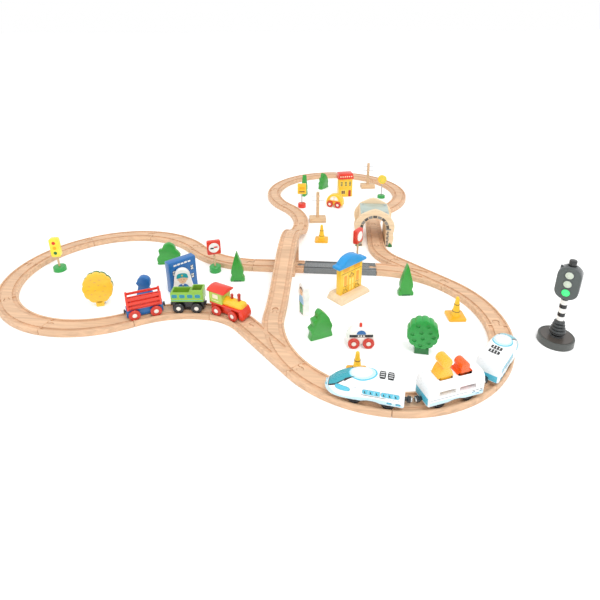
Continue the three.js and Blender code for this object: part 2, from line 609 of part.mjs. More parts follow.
function stationBuilding() {
  const base = across(outline([[-41.5, 0], [41.5, 0], [41.5, 4], [34, 13], [-34, 13], [-41.5, 4]]), -21, 21);
  const wall = block([-31, -6, 12], [31, 6, 75]);
  const roof = new THREE.Shape();
  roof.moveTo(-40, 72).lineTo(40, 72).lineTo(40, 79).lineTo(29, 79);
  roof.quadraticCurveTo(17, 92, 0, 92.5).quadraticCurveTo(-17, 92, -29, 79);
  roof.lineTo(-40, 79);
  return join(base, wall, across(roof, -9.5, 9.5, 5));
}
add('station_building', stationBuilding(), '#f6cf3a', { pose: stands(-65, 97, 48) });

function shopBuilding() {
  return join(block([-22, -12, 0], [22, 12, 62]), across(outline([[-25, 60], [25, 60], [23, 78], [-23, 78]]), -15, 15));
}
add('shop_building', shopBuilding(), '#f4bd33', { pose: stands(-92, 706, 16) });

// A tree's crown with a scalloped edge, in one slab.
function crown(halfWidth, halfHeight, middle, lobes, depth, swell) {
  const points = [];
  const steps = lobes * 4;
  for (let i = 0; i < steps; i++) {
    const turn = 2 * Math.PI * i / steps;
    const r = 1 + swell * Math.abs(Math.cos(lobes * turn / 2)) - swell;
    points.push([halfWidth * r * Math.cos(turn), middle + halfHeight * r * Math.sin(turn)]);
  }
  return across(outline(points), -depth / 2, depth / 2);
}
add('round_tree', join(crown(26, 28.4, 37.5, 13, 18, 0.06), block([-12, -9, 0], [12, 9, 12])), '#23a447',
  { pose: stands(60, -68, -4) });
add('yellow_tree', join(crown(28, 33, 40, 11, 14, 0.06), block([-7, -7, 0], [7, 7, 12])), '#f3c316',
  { pose: stands(-552, 6, 20) });

// A sign: a weighted foot, a dowel and a plate.
function signPost(foot, footHeight, plate) {
  return join(round(0, 0, 0, footHeight, foot, foot, 16), round(0, 0, footHeight - 1, 48, 2.5, 2.5, 8), plate);
}
add('traffic_light', signPost(14, 11, across(roundedRectangle(-10, 36, 10, 80, 5), -5, 5, 2)), '#f0d21f',
  { pose: stands(-718, 131, 14) });
add('red_sign', signPost(13, 14, across(roundedRectangle(-15, 44, 15, 76, 3), -5, 5, 2)), '#d8301c',
  { pose: stands(-365, 165, 24) });

// A figure: a flat-sided pear with a flat foot.
function figure(footHalf, waist, headHalf, height, depth) {
  const shape = new THREE.Shape();
  shape.moveTo(-footHalf, 0).lineTo(footHalf, 0);
  shape.bezierCurveTo(waist + 3, height * 0.25, headHalf, height * 0.5, headHalf, height - headHalf);
  shape.absarc(0, height - headHalf, headHalf, 0, Math.PI, false);
  shape.bezierCurveTo(-headHalf, height * 0.5, -waist - 3, height * 0.25, -footHalf, 0);
  return across(shape, -depth / 2, depth / 2, 3);
}
add('policeman', figure(13, 19.5, 14.5, 60, 12), WHITE, { pose: stands(-401, 62, 20) });
add('standing_man', figure(11, 12, 12, 67, 12), WHITE, { pose: stands(-148, 20, -58) });

// ---- the origin: the middle of the footprint, on the floor
group.updateMatrixWorld(true);
const bounds = new THREE.Box3().setFromObject(group, true);
const middle = bounds.getCenter(new THREE.Vector3());
group.position.set(-middle.x, -middle.y, -bounds.min.z);
group.updateMatrixWorld(true);

export default group;
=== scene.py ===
"""The looks of a wooden train set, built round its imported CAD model. Lengths are in millimetres until a piece is made."""

import json
import math

import bpy
from mathutils import Matrix, Vector


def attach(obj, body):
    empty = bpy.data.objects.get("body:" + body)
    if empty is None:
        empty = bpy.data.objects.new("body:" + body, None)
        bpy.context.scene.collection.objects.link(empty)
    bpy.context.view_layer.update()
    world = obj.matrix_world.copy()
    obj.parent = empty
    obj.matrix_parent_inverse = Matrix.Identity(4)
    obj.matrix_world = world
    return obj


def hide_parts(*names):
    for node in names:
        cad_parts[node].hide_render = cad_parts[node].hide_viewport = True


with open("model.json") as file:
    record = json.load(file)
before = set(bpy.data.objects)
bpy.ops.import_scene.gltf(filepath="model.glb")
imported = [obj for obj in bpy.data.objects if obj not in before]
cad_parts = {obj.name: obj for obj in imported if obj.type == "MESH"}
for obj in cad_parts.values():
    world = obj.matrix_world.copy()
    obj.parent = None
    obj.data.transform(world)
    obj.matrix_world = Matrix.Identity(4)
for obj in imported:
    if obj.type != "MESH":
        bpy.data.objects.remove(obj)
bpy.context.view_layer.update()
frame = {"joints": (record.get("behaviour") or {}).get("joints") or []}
JOINTS = {joint["name"]: joint for joint in frame["joints"]}
MM = 0.001
ORIGIN = Vector(JOINTS["bullet_engine_roll"]["pos_m"]) / MM  # centre of the right-hand loop, which the layout starts from

# ---------------------------------------------------------------- materials
materials = {}


def linear(colour):
    """A colour written #rrggbb as linear red, green, blue, alpha."""
    parts = [int(colour[i : i + 2], 16) / 255 for i in (1, 3, 5)]
    return [c / 12.92 if c <= 0.04045 else ((c + 0.055) / 1.055) ** 2.4 for c in parts] + [1.0]


def material(name, colour, rough=0.4, spread=0.12, stretch=(0.05, 0.05, 0.05), bump=0.06, fine=6.0, coat=0.0, metal=0.0):
    """A surface whose colour, gloss and relief vary a little along its own grain."""
    made = bpy.data.materials.new(name)
    made.use_nodes = True
    nodes, links = made.node_tree.nodes, made.node_tree.links
    shader = nodes["Principled BSDF"]
    shader.inputs["Metallic"].default_value = metal
    shader.inputs["Coat Weight"].default_value = coat
    shader.inputs["Coat Roughness"].default_value = 0.12
    grain = nodes.new("ShaderNodeAttribute")
    grain.attribute_name = "grain"
    mapping = nodes.new("ShaderNodeMapping")
    mapping.inputs["Scale"].default_value = stretch
    links.new(grain.outputs["Vector"], mapping.inputs["Vector"])
    broad = nodes.new("ShaderNodeTexNoise")
    broad.inputs["Scale"].default_value = 1.0
    broad.inputs["Detail"].default_value = 4.0
    broad.inputs["Distortion"].default_value = 0.4
    links.new(mapping.outputs["Vector"], broad.inputs["Vector"])
    close = nodes.new("ShaderNodeTexNoise")
    close.inputs["Scale"].default_value = fine
    close.inputs["Detail"].default_value = 3.0
    links.new(mapping.outputs["Vector"], close.inputs["Vector"])
    ramp = nodes.new("ShaderNodeValToRGB")
    base = linear(colour)
    ramp.color_ramp.elements[0].position = 0.3
    ramp.color_ramp.elements[0].color = [c * (1 - spread) for c in base[:3]] + [1]
    ramp.color_ramp.elements[1].position = 0.7
    ramp.color_ramp.elements[1].color = [min(1, c * (1 + spread * 0.5)) for c in base[:3]] + [1]
    links.new(broad.outputs["Fac"], ramp.inputs["Fac"])
    links.new(ramp.outputs["Color"], shader.inputs["Base Color"])
    gloss = nodes.new("ShaderNodeMapRange")
    gloss.inputs["To Min"].default_value = max(0.05, rough - 0.08)
    gloss.inputs["To Max"].default_value = min(1, rough + 0.08)
    links.new(close.outputs["Fac"], gloss.inputs["Value"])
    links.new(gloss.outputs["Result"], shader.inputs["Roughness"])
    relief = nodes.new("ShaderNodeBump")
    relief.inputs["Strength"].default_value = bump
    relief.inputs["Distance"].default_value = 0.0004
    links.new(close.outputs["Fac"], relief.inputs["Height"])
    links.new(relief.outputs["Normal"], shader.inputs["Normal"])
    materials[name] = made


def wood(name, colour, spread=0.2):
    material(name, colour, rough=0.55, spread=spread, stretch=(0.012, 0.16, 0.16), bump=0.25, fine=7.0)


def paint(name, colour, rough=0.34):
    material(name, colour, rough=rough, spread=0.1, stretch=(0.03, 0.07, 0.07), bump=0.1, fine=8.0, coat=0.25)


def plastic(name, colour, rough=0.28):
    material(name, colour, rough=rough, spread=0.05, stretch=(0.04, 0.04, 0.04), bump=0.03, fine=12.0, coat=0.2)


wood("beech", "#dcb592")
wood("pale_wood", "#ecd2ae", 0.12)
wood("dowel", "#d9b790")
for paint_name, paint_colour in {
    "red": "#e0341a", "dark_red": "#b5230f", "orange": "#f26a1d", "yellow": "#f8c62e", "deep_yellow": "#eeb019",
    "lemon": "#f7e06a", "green": "#1f9e40", "leaf": "#57b536", "dark_green": "#0f7030", "lime": "#b5cf52",
    "cloud_green": "#2f9b34", "blue": "#1668ae", "roof_blue": "#0f93d6", "sky": "#8fc4e8", "teal": "#1aa3ad",
    "white": "#f5f4ef", "cream": "#f6e8c8", "black": "#1c1b1c", "grey": "#8a8f90", "stone": "#8c8a86",
    "stone_dark": "#57534f", "roof_grey": "#aebdb3", "brown": "#6d4a30", "skin": "#eac29c", "tan": "#d39a55",
}.items():
    paint(paint_name, paint_colour)
for paint_name, paint_colour in {
    "track_grey": "#74797b", "track_dark": "#4b4f51", "shell_white": "#f6f8f9", "ice": "#c3e2ee", "cyan": "#57bfd8",
    "screen": "#2f9fae", "ink": "#17191b", "chassis": "#202123", "wheel_black": "#242426", "wheel_red": "#c9301a",
    "signal_grey": "#585c5d", "signal_dark": "#3a3d3e", "lens": "#cfd8c8", "button_rubber": "#2b2c2d",
    "figure_yellow": "#f8b62a", "figure_orange": "#f2601c", "magnet_case": "#2a2b2d", "tail_red": "#c4452f",
}.items():
    plastic(paint_name, paint_colour)
material("silver", "#c9ccce", rough=0.22, spread=0.08, metal=1.0)
material("steel_wire", "#b9bcc0", rough=0.3, spread=0.06, metal=1.0)
plastic("green_lamp", "#35d36c", 0.15)
paint("hub_white", "#e8e4da", 0.3)
paint("lemon_yellow", "#f7e23c")
paint("orange_print", "#f0a01c")
paint("window_blue", "#1c7f9c")
paint("olive", "#86b83a")
paint("olive_dark", "#6b8f2a")
# Painted shade: a near-black colour for the sheet laid in the green wagon's front pocket, standing in for the shadow in
# that hollow.
plastic("pocket_painted_shade", "#33250f")
plastic("roof_white", "#e3e6e8")
plastic("signal_foot", "#4a4d4a", 0.4)
plastic("signal_disc", "#4d4742", 0.35)
plastic("signal_face", "#4f5654", 0.45)
plastic("grey_print", "#9aa3aa")
materials["green_lamp"].node_tree.nodes["Principled BSDF"].inputs["Emission Color"].default_value = linear("#46e884")
materials["green_lamp"].node_tree.nodes["Principled BSDF"].inputs["Emission Strength"].default_value = 0.7

# ---------------------------------------------------------------- outlines: lists of (u, v)


def rectangle(u0, v0, u1, v1, r=1.0, steps=3):
    points = []
    for cu, cv, start in ((u1 - r, v0 + r, -90), (u1 - r, v1 - r, 0), (u0 + r, v1 - r, 90), (u0 + r, v0 + r, 180)):
        for i in range(steps + 1):
            turn = math.radians(start + 90 * i / steps)
            points.append((cu + r * math.cos(turn), cv + r * math.sin(turn)))
    return points


def disc(u, v, r, count=28, squash=1.0):
    turns = (2 * math.pi * i / count for i in range(count))
    return [(u + r * math.cos(t), v + r * squash * math.sin(t)) for t in turns]


def bend(u, v, r, start, stop, count=12):
    turns = (math.radians(start + (stop - start) * i / count) for i in range(count + 1))
    return [(u + r * math.cos(t), v + r * math.sin(t)) for t in turns]


def smooth(points, steps=5, closed=True):
    """A round line through the points."""
    out = []
    count = len(points)
    for i in range(count if closed else count - 1):
        if closed:
            p = [Vector(points[(i + k) % count]) for k in (-1, 0, 1, 2)]
        else:
            p = [Vector(points[min(max(i + k, 0), count - 1)]) for k in (-1, 0, 1, 2)]
        for step in range(steps):
            t = step / steps
            near, far = p[1] * 2, (p[2] - p[0]) * t
            mid = (2 * p[0] - 5 * p[1] + 4 * p[2] - p[3]) * t * t
            out.append(tuple(0.5 * (near + far + mid + (3 * p[1] - p[0] - 3 * p[2] + p[3]) * t ** 3)))
    if not closed:
        out.append(tuple(points[-1]))
    return out


def inset(points, distance):
    """The outline moved inwards."""
    area = sum(a[0] * b[1] - a[1] * b[0] for a, b in zip(points, points[1:] + points[:1]))
    side = 1 if area > 0 else -1
    out = []
    for before, here, after in zip(points[-1:] + points[:-1], points, points[1:] + points[:1]):
        first = (Vector(here) - Vector(before)).normalized()
        second = (Vector(after) - Vector(here)).normalized()
        n1, n2 = Vector((-first.y, first.x)), Vector((-second.y, second.x))
        move = (n1 + n2) / max(0.4, 1 + n1.dot(n2))
        out.append(tuple(Vector(here) + side * distance * move))
    return out


def clean(points):
    """The outline with repeated points left out."""
    kept = []
    for p in points:
        if not kept or (Vector(p) - Vector(kept[-1])).length > 0.02:
            kept.append(tuple(p))
    while len(kept) > 3 and (Vector(kept[0]) - Vector(kept[-1])).length < 0.02:
        kept.pop()
    return kept


# How an outline's u, v and the way it is drawn out, w, lie in a piece.
PLANES = {
    "z": Matrix.Identity(4),
    "y": Matrix(((1, 0, 0, 0), (0, 0, -1, 0), (0, 1, 0, 0), (0, 0, 0, 1))),
    "x": Matrix(((0, 0, 1, 0), (1, 0, 0, 0), (0, 1, 0, 0), (0, 0, 0, 1))),
}


def turned(x, y, z=0.0, degrees=0.0):
    return Matrix.Translation((x, y, z)) @ Matrix.Rotation(math.radians(degrees), 4, "Z")


def stands(x, y, degrees=0.0):
    """A place on the floor, given in the layout's frame."""
    return turned(ORIGIN.x + x, ORIGIN.y + y, 0, degrees)


# ---------------------------------------------------------------- pieces
SHARP = math.cos(math.radians(34))
made_count = 0


class Piece:
    """Closed shells, collected in a local frame and made into one Blender object."""

    def __init__(self, name, body="root", at=None):
        self.name, self.body, self.at = name, body, at or Matrix.Identity(4)
        self.verts, self.faces, self.paints, self.palette = [], [], [], []

    def shell(self, verts, faces, paint_name, place=None):
        verts = [Vector(v) for v in verts]
        if place is not None:
            verts = [place @ v for v in verts]
        volume = 0.0
        for face in faces:
            for i in range(1, len(face) - 1):
                volume += verts[face[0]].dot(verts[face[i]].cross(verts[face[i + 1]]))
        if volume < 0:
            faces = [face[::-1] for face in faces]
        start = len(self.verts)
        self.verts += verts
        self.faces += [tuple(start + i for i in face) for face in faces]
        if paint_name not in self.palette:
            self.palette.append(paint_name)
        self.paints += [self.palette.index(paint_name)] * len(faces)
        return self

    def rings(self, rings, paint_name, place=None, loop=False):
        """Rings of equal length, joined in turn, with a cap at each end unless the last joins the first."""
        size = len(rings[0])
        verts = [v for ring in rings for v in ring]
        faces = []
        last = len(rings) if loop else len(rings) - 1
        for k in range(last):
            a, b = k * size, (k + 1) % len(rings) * size
            faces += [(a + i, a + (i + 1) % size, b + (i + 1) % size, b + i) for i in range(size)]
        if not loop:
            faces.append(tuple(range(size))[::-1])
            faces.append(tuple(range((len(rings) - 1) * size, len(rings) * size)))
        return self.shell(verts, faces, paint_name, place)

    def slab(self, outline, low, high, paint_name, edge=0.8, plane="z", place=None):
        """An outline drawn out from low to high, with rounded edges."""
        outline = clean(outline)
        edge = min(edge, (high - low) * 0.45)
        steps = ((0.0, 1.0), (0.3, 0.3), (1.0, 0.0)) if edge > 0.3 else ((0.0, 1.0), (1.0, 0.0))
        rings = [(low + edge * up, inset(outline, edge * away)) for up, away in steps]
        rings += [(high - edge * up, inset(outline, edge * away)) for up, away in steps[::-1]]
        place = (place or Matrix.Identity(4)) @ PLANES[plane]
        return self.rings([[(u, v, w) for u, v in ring] for w, ring in rings], paint_name, place)

    def decal(self, outline, half, paint_name, plane="y", sides=(1, -1), proud=0.3, place=None):
        """A printed or inlaid shape that stands a little proud of a face at half from the middle plane."""
        for side in sides:
            low, high = sorted((side * (half - 0.3), side * (half + proud)))
            self.slab(outline, low, high, paint_name, edge=0.12, plane=plane, place=place)
        return self

    def lathe(self, profile, paint_name, place=None, sides=28, loop=False):
        """A profile of (radius, height) turned about the upright axis."""
        turns = [2 * math.pi * i / sides for i in range(sides)]
        rings = [[(max(r, 0.03) * math.cos(t), max(r, 0.03) * math.sin(t), z) for t in turns] for r, z in profile]
        return self.rings(rings, paint_name, place, loop)

    def bar(self, start, end, r, paint_name, sides=12, edge=0.3):
        """A round bar between two points."""
        start, end = Vector(start), Vector(end)
        way = end - start
        place = Matrix.Translation(start) @ way.to_track_quat("Z", "Y").to_matrix().to_4x4()
        profile = [(r - edge, 0), (r, edge), (r, way.length - edge), (r - edge, way.length)]
        return self.lathe(profile, paint_name, place, sides)

    def done(self, replaces=(), slot="beech"):
        global made_count
        made_count += 1
        mesh = bpy.data.meshes.new(self.name)
        mesh.from_pydata([v * MM for v in self.verts], [], self.faces)
        for paint_name in self.palette:
            mesh.materials.append(materials[paint_name])
        mesh.polygons.foreach_set("material_index", self.paints)
        finish_mesh(mesh, made_count)
        made = bpy.data.objects.new(self.name, mesh)
        bpy.context.scene.collection.objects.link(made)
        place = self.at.copy()
        place.translation *= MM
        mesh.transform(place)
        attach(made, self.body)
        if replaces:
            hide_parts(*replaces)
        return made


def finish_mesh(mesh, seed):
    """Smooth shading with sharp corners, and the grain's own coordinates."""
    mesh.update()
    mesh.polygons.foreach_set("use_smooth", [True] * len(mesh.polygons))
    normals = [p.normal.copy() for p in mesh.polygons]
    users = {}
    for polygon in mesh.polygons:
        for key in polygon.edge_keys:
            users.setdefault(key, []).append(polygon.index)
    sharp = []
    for edge in mesh.edges:
        faces = users.get(tuple(sorted(edge.vertices)), [])
        sharp.append(len(faces) != 2 or normals[faces[0]].dot(normals[faces[1]]) < SHARP)
    attribute = mesh.attributes.get("sharp_edge") or mesh.attributes.new("sharp_edge", "BOOLEAN", "EDGE")
    attribute.data.foreach_set("value", sharp)
    grain = mesh.attributes.get("grain") or mesh.attributes.new("grain", "FLOAT_VECTOR", "POINT")
    away = Vector((seed * 137.0, seed * 61.0, seed * 29.0))
    for i, vertex in enumerate(mesh.vertices):
        grain.data[i].vector = vertex.co / MM + away


def carve(body, tools, joins=()):
    """A made piece with other pieces cut out of it or joined to it. The tools are removed."""
    for tool, operation in [(t, "UNION") for t in joins] + [(t, "DIFFERENCE") for t in tools]:
        step = body.modifiers.new("carve", "BOOLEAN")
        step.operation, step.solver, step.object = operation, "MANIFOLD", tool
    bpy.context.view_layer.update()
    mesh = bpy.data.meshes.new_from_object(body.evaluated_get(bpy.context.evaluated_depsgraph_get()))
    body.modifiers.clear()
    body.data = mesh
    for tool in [*joins, *tools]:
        bpy.data.objects.remove(tool)
    finish_mesh(mesh, made_count)
    return body


# ---------------------------------------------------------------- track
WIDTH, THICK = 40.0, 12.0
GROOVE, DEPTH, GAUGE = 7.0, 3.0, 13.0
LARGE, SMALL, SWITCH = 202.0, 110.0, 144.0
RAMP, RISE = 210.5, 64.0
SEAM = 0.35
TOY_WHEEL, CAR_WHEEL = 10.5, 10.0


def ahead(pose, distance, side=0.0):
    x, y, heading = pose
    return (
        x + distance * math.cos(heading) - side * math.sin(heading),
        y + distance * math.sin(heading) + side * math.cos(heading),
        heading,
    )


def around(pose, radius, degrees):
    turn = math.copysign(1, degrees)
    x, y, _ = ahead(pose, 0, turn * radius)
    heading = pose[2] + math.radians(degrees)
    return ahead((x, y, heading), 0, -turn * radius)


def back(pose):
    return (pose[0], pose[1], pose[2] + math.pi)


def closing(start, end):
    """Radius, degrees and straight of the run that brings start to end."""
    change = end[2] - start[2]
    turn = math.atan2(math.sin(change), math.cos(change))
    unit = around(start, 1, math.degrees(turn))
    ax, ay = unit[0] - start[0], unit[1] - start[1]
    bx, by = math.cos(end[2]), math.sin(end[2])
    dx, dy = end[0] - start[0], end[1] - start[1]
    area = ax * by - ay * bx
    return (dx * by - dy * bx) / area, math.degrees(turn), (ax * dy - ay * dx) / area


def path_of(length=0.0, radius=0.0, degrees=0.0, start=0.0, stop=0.0):
    """Poses along a curve and the straight after it, with the ends moved in or out."""
    points = []
    if degrees:
        steps = max(6, round(abs(degrees) / 3))
        first = math.degrees(start / radius) * math.copysign(1, degrees)
        last = degrees - (0 if length else math.degrees(stop / radius) * math.copysign(1, degrees))
        points = [around((0, 0, 0), radius, first + (last - first) * i / steps) for i in range(steps + 1)]
        if length:
            bend_end = around((0, 0, 0), radius, degrees)
            points.append(ahead(bend_end, length - stop))
    else:
        points = [ahead((0, 0, 0), s) for s in (start, length - stop)]
    return points


def sections(path, profile, height=None, edge=0.0):
    """Rings of a (side, z) profile along a path, drawn in a little at each end."""
    rings = []
    last = len(path) - 1
    for i, pose in enumerate(path):
        lift = height(pose[0]) if height else 0
        if edge and i in (0, last):
            end_ring = [(*ahead(pose, 0, s)[:2], z + lift) for s, z in inset(profile, edge)]
            inner = ahead(pose, edge if i == 0 else -edge)
            lift = height(inner[0]) if height else 0
            full = [(*ahead(inner, 0, s)[:2], z + lift) for s, z in profile]
            rings += [end_ring, full] if i == 0 else [full, end_ring]
        else:
            rings.append([(*ahead(pose, 0, s)[:2], z + lift) for s, z in profile])
    return rings


BODY = rectangle(-WIDTH / 2, 0, WIDTH / 2, THICK, 1.3, 2)


def groove_profile(side):
    half = GROOVE / 2 - 0.1
    floor = THICK - DEPTH
    points = [(-half + 0.5, floor), (half - 0.5, floor), (half, floor + 0.5), (half, THICK - 0.5), (half + 0.6, THICK + 0.1)]
    points += [(half + 0.6, THICK + 12), (-half - 0.6, THICK + 12), (-half - 0.6, THICK + 0.1), (-half, THICK - 0.5)]
    points.append((-half, floor + 0.5))
    return [(side * GAUGE + s, z) for s, z in points]


def joint_tool(name, pose, play, low, high):
    """The dog-bone of a track joint, pointing along the pose."""
    tool = Piece(name, at=turned(pose[0], pose[1], 0, math.degrees(pose[2])))
    neck, head = 3.5 + play, 5.5 + play
    angle = math.degrees(math.asin(neck / head))
    outline = [(-2, -neck), (-2, neck)]
    outline += bend(10, 0, head, 180 - angle, -180 + angle, 22)
    tool.slab(outline[::-1], low, high, "beech", edge=0.5 if play == 0 else 0.01)
    return tool


def track(name, pose, runs, ends, node, paint_name="beech", height=None, body_node="beech"):
    """One piece of track: its runs, and what is at each end, as (kind, pose out of the piece, lift)."""
    at = stands(pose[0], pose[1], math.degrees(pose[2]))
    base = None
    joins, tools = [], []
    for number, run in enumerate(runs):
        block = Piece(name if number == 0 else f"{name}_run", at=at)
        block.rings(sections(path_of(**run, start=SEAM, stop=SEAM), BODY, height, 0.8), paint_name)
        if height:
            block = Piece(name, at=at)
            slices = [ahead((0, 0, 0), SEAM + (RAMP - 2 * SEAM) * i / 28) for i in range(29)]
            block.rings(sections(slices, BODY, height, 0.8), paint_name)
        if number == 0:
            base = block.done((node,), body_node)
        else:
            joins.append(block.done())
        for side in (-1, 1):
            groove = Piece(f"{name}_groove", at=at)
            if height:
                slices = [ahead((0, 0, 0), -2 + (RAMP + 4) * i / 28) for i in range(29)]
                groove.rings(sections(slices, groove_profile(side), height), paint_name)
            else:
                groove.rings(sections(path_of(**run, start=-2, stop=-2), groove_profile(side)), paint_name)
            tools.append(groove.done())
    for kind, out, lift in ends:
        if kind == "peg":
            peg = joint_tool(f"{name}_peg", out, 0, lift + 1, lift + 11)
            peg.at = at @ peg.at
            joins.append(peg.done())
        else:
            socket = joint_tool(f"{name}_socket", back(out), 0.5, lift - 2, lift + THICK + 2)
            socket.at = at @ socket.at
            tools.append(socket.done())
    pegs = [j for j in joins if "_peg" in j.name]
    runs_joined = [j for j in joins if "_peg" not in j.name]
    carve(base, tools, runs_joined)
    if pegs:
        carve(base, [], pegs)
    base.data.materials.clear()
    base.data.materials.append(materials[paint_name])
    return base


ZERO = (0.0, 0.0, 0.0)


def straight(name, pose, length, node, paint_name="beech", ends=("socket", "peg"), body_node="beech"):
    marks = [(ends[0], back(ZERO), 0), (ends[1], ahead(ZERO, length), 0)]
    return track(name, pose, [{"length": length}], marks, node, paint_name, body_node=body_node)


def curve(name, pose, radius, degrees, node, ends=("socket", "peg"), lead=0.0):
    out = ahead(around(ZERO, radius, degrees), lead)
    marks = [(ends[0], back(ZERO), 0), (ends[1], out, 0)]
    return track(name, pose, [{"radius": radius, "degrees": degrees, "length": lead}], marks, node)


def loop(names, pose, radius, step):
    for name in names:
        for half in (1, 2):
            curve(f"{name}_{half}", pose, radius, step, name)
            pose = around(pose, radius, step)
    return pose


def ramp_height(x):
    t = min(max(x / RAMP, 0), 1)
    return RISE * t * t * (3 - 2 * t)


def switch(name, pose, turn, stem):
    curve_run = {"radius": LARGE, "degrees": turn * 45.0}
    marks = [(stem, back(ZERO), 0), ("socket", ahead(ZERO, SWITCH), 0), ("peg", around(ZERO, LARGE, turn * 45.0), 0)]
    return track(name, pose, [{"length": SWITCH}, curve_run], marks, name)


stem_a = (-LARGE * math.sqrt(0.5), -LARGE * math.sqrt(0.5), math.radians(135))
switch("switch_front", stem_a, -1, "peg")
a_straight, a_curve = ahead(stem_a, SWITCH), around(stem_a, LARGE, -45)
stem_b = loop(("right_loop_south", "right_loop_east"), back(stem_a), LARGE, 45.5)
switch("switch_rear", stem_b, 1, "socket")
b_straight, b_curve = ahead(stem_b, SWITCH), around(stem_b, LARGE, 45)
straight("crossing_track", b_curve, 160.0, "crossing_track", "track_grey", body_node="grey_plastic")
pose = ahead(b_curve, 160)
straight("short_straight", pose, 116.0, "short_straight")
pose = ahead(pose, 116)
curve("west_curve_in", pose, LARGE, -49.0, "west_curve_in")
pose = loop(("west_loop_north", "west_loop_west", "west_loop_south"), around(pose, LARGE, -49), LARGE, 44.0)
curve("west_curve_out", pose, LARGE, -43.5, "west_curve_out")
pose = around(pose, LARGE, -43.5)
w_radius, w_degrees, w_lead = closing(pose, back(a_straight))
curve("west_curve_small", pose, w_radius, w_degrees, "west_curve_small", lead=w_lead)


def ramp(name, pose, ends):
    marks = [(ends[0], back(ZERO), 0), (ends[1], ahead(ZERO, RAMP), RISE)]
    return track(name, pose, [{"length": RAMP}], marks, name, height=ramp_height)


ramp("bridge_ramp_front", a_curve, ("socket", "peg"))
pose = ahead(a_curve, 2 * RAMP)
ramp("bridge_ramp_rear", back(pose), ("peg", "socket"))
curve("north_curve_in", pose, LARGE, 45.3, "north_curve_in")
pose = loop(("north_loop_west", "north_loop_north", "north_loop_east"), around(pose, LARGE, 45.3), LARGE, -44.2)
curve("north_curve_small", b_straight, SMALL, -45.0, "north_curve_small", ends=("peg", "socket"))
mouth = around(b_straight, SMALL, -45)
n_radius, n_degrees, n_lead = closing(pose, back(mouth))
curve("north_curve_out", pose, n_radius, n_degrees, "north_curve_out")
straight("tunnel_straight", around(pose, n_radius, n_degrees), n_lead, "tunnel_straight")

# ---------------------------------------------------------------- the bridge's pier


def bridge_pier():
    middle, leg, inner, half = 195.9, 12.0, 26.0, 18.0
    left, right = middle - inner - leg, middle + inner + leg
    top = [(x, min(ramp_height(x), ramp_height(2 * RAMP - x)) - 0.4) for x in (right, RAMP, *(right - 4 * i for i in range(7, 19)))]
    outline = [(left, 0), (left + leg, 0), (left + leg, 40)]
    outline += bend(left + leg + 6, 40, 6, 180, 90, 5) + bend(right - leg - 6, 40, 6, 90, 0, 5)
    outline += [(right - leg, 0), (right, 0)] + top + [(left, ramp_height(left) - 0.4)]
    piece = Piece("bridge_pier", at=stands(a_curve[0], a_curve[1], 90))
    piece.slab(outline, -half, half, "beech", 1.2, "y")
    piece.done(("bridge_pier",))


bridge_pier()

# ---------------------------------------------------------------- the tunnel
TUNNEL = {"length": 92.0, "plate": 9.0, "half": 28.0, "spring": 48.0}


def gate(half, spring, low=0.0, count=20):
    return [(half, low)] + bend(0, spring, half, 0, 180, count) + [(-half, low)]


def stone_ring(piece, face, sides):
    """Printed stones round the mouth, and courses of brick down its sides."""
    half, spring = TUNNEL["half"], TUNNEL["spring"]
    for i in range(9):
        a, b = 180 * i / 9 + 1.2, 180 * (i + 1) / 9 - 1.2
        outline = bend(0, spring, half + 7.5, a, b, 4) + bend(0, spring, half + 0.8, b, a, 4)
        piece.decal(outline, face, "stone" if i % 2 else "stone_dark", sides=sides)
    for side in (-1, 1):
        for row in range(8):
            z, shift = 2 + row * 5.2, 1.2 * (row % 2)
            low, high = sorted((side * (half + 1.2 + shift), side * (half + 6.6 + shift)))
            piece.decal(rectangle(low, z, high, z + 4.2, 0.5), face, "stone" if row % 2 else "stone_dark", sides=sides)
        low, high = sorted((side * (half - 0.2), side * (half + 12)))
        piece.decal(rectangle(low, 45.5, high, 50, 0.6), face, "stone", sides=sides)
        bush = [(side * (half + 12 + u), v) for u, v in ((-5, 1), (-4.5, 6), (-1, 12), (1.4, 9), (4, 7), (5, 1))]
        piece.decal(smooth(bush if side > 0 else bush[::-1], 3), face, "dark_green", sides=sides)


def tunnel():
    length, plate = TUNNEL["length"], TUNNEL["plate"]
    at = stands(mouth[0] - 6, mouth[1] + 8, 1.8)
    right = [(45, 0), (45.4, 10), (47.6, 24), (46, 36), (48.5, 50), (46.5, 64), (39, 76), (33, 84), (20, 91), (9, 96), (0, 98.4)]
    left = [(-u, v) for u, v in right[::-1][1:]]
    body = Piece("tunnel", at=at)
    cutter = Piece("tunnel_cut", at=at)
    wall = [(36.5, 0), (36.5, 78), (33, 83.5), (-33, 83.5), (-36.5, 78), (-36.5, 0)]
    body.slab(wall, -length + 4, -4, "pale_wood", 0.5, "y")
    plates = []
    for low in (-plate, -length):
        one = Piece("tunnel_plate", at=at)
        one.slab(smooth(right, 4, False) + smooth(left, 4, False), low, low + plate, "pale_wood", 1.0, "y")
        plates.append(one.done())
    base = body.done(("tunnel",), "pale_wood")
    carve(base, [], plates)
    cutter.slab(gate(TUNNEL["half"], TUNNEL["spring"], -5), -length - 5, 5, "pale_wood", 0.01, "y")
    carve(base, [cutter.done()])
    print_piece = Piece("tunnel_print", at=at @ turned(0, length / 2))
    stone_ring(print_piece, length / 2, (1, -1))
    roof = rectangle(-34.5, -length / 2 + plate + 0.4, 34.5, length / 2 - plate - 0.4, 0.8)
    print_piece.slab(roof, 83.2, 84.6, "roof_grey", 0.4)
    for u in (-28, 28):
        for v in (-26, 26):
            print_piece.lathe([(0.1, 84.4), (2.6, 84.4), (2.6, 85.2), (1.8, 85.6), (0.1, 85.6)], "steel_wire", turned(u, v), 16)
    print_piece.done(slot="pale_wood")


tunnel()

# ---------------------------------------------------------------- wheels


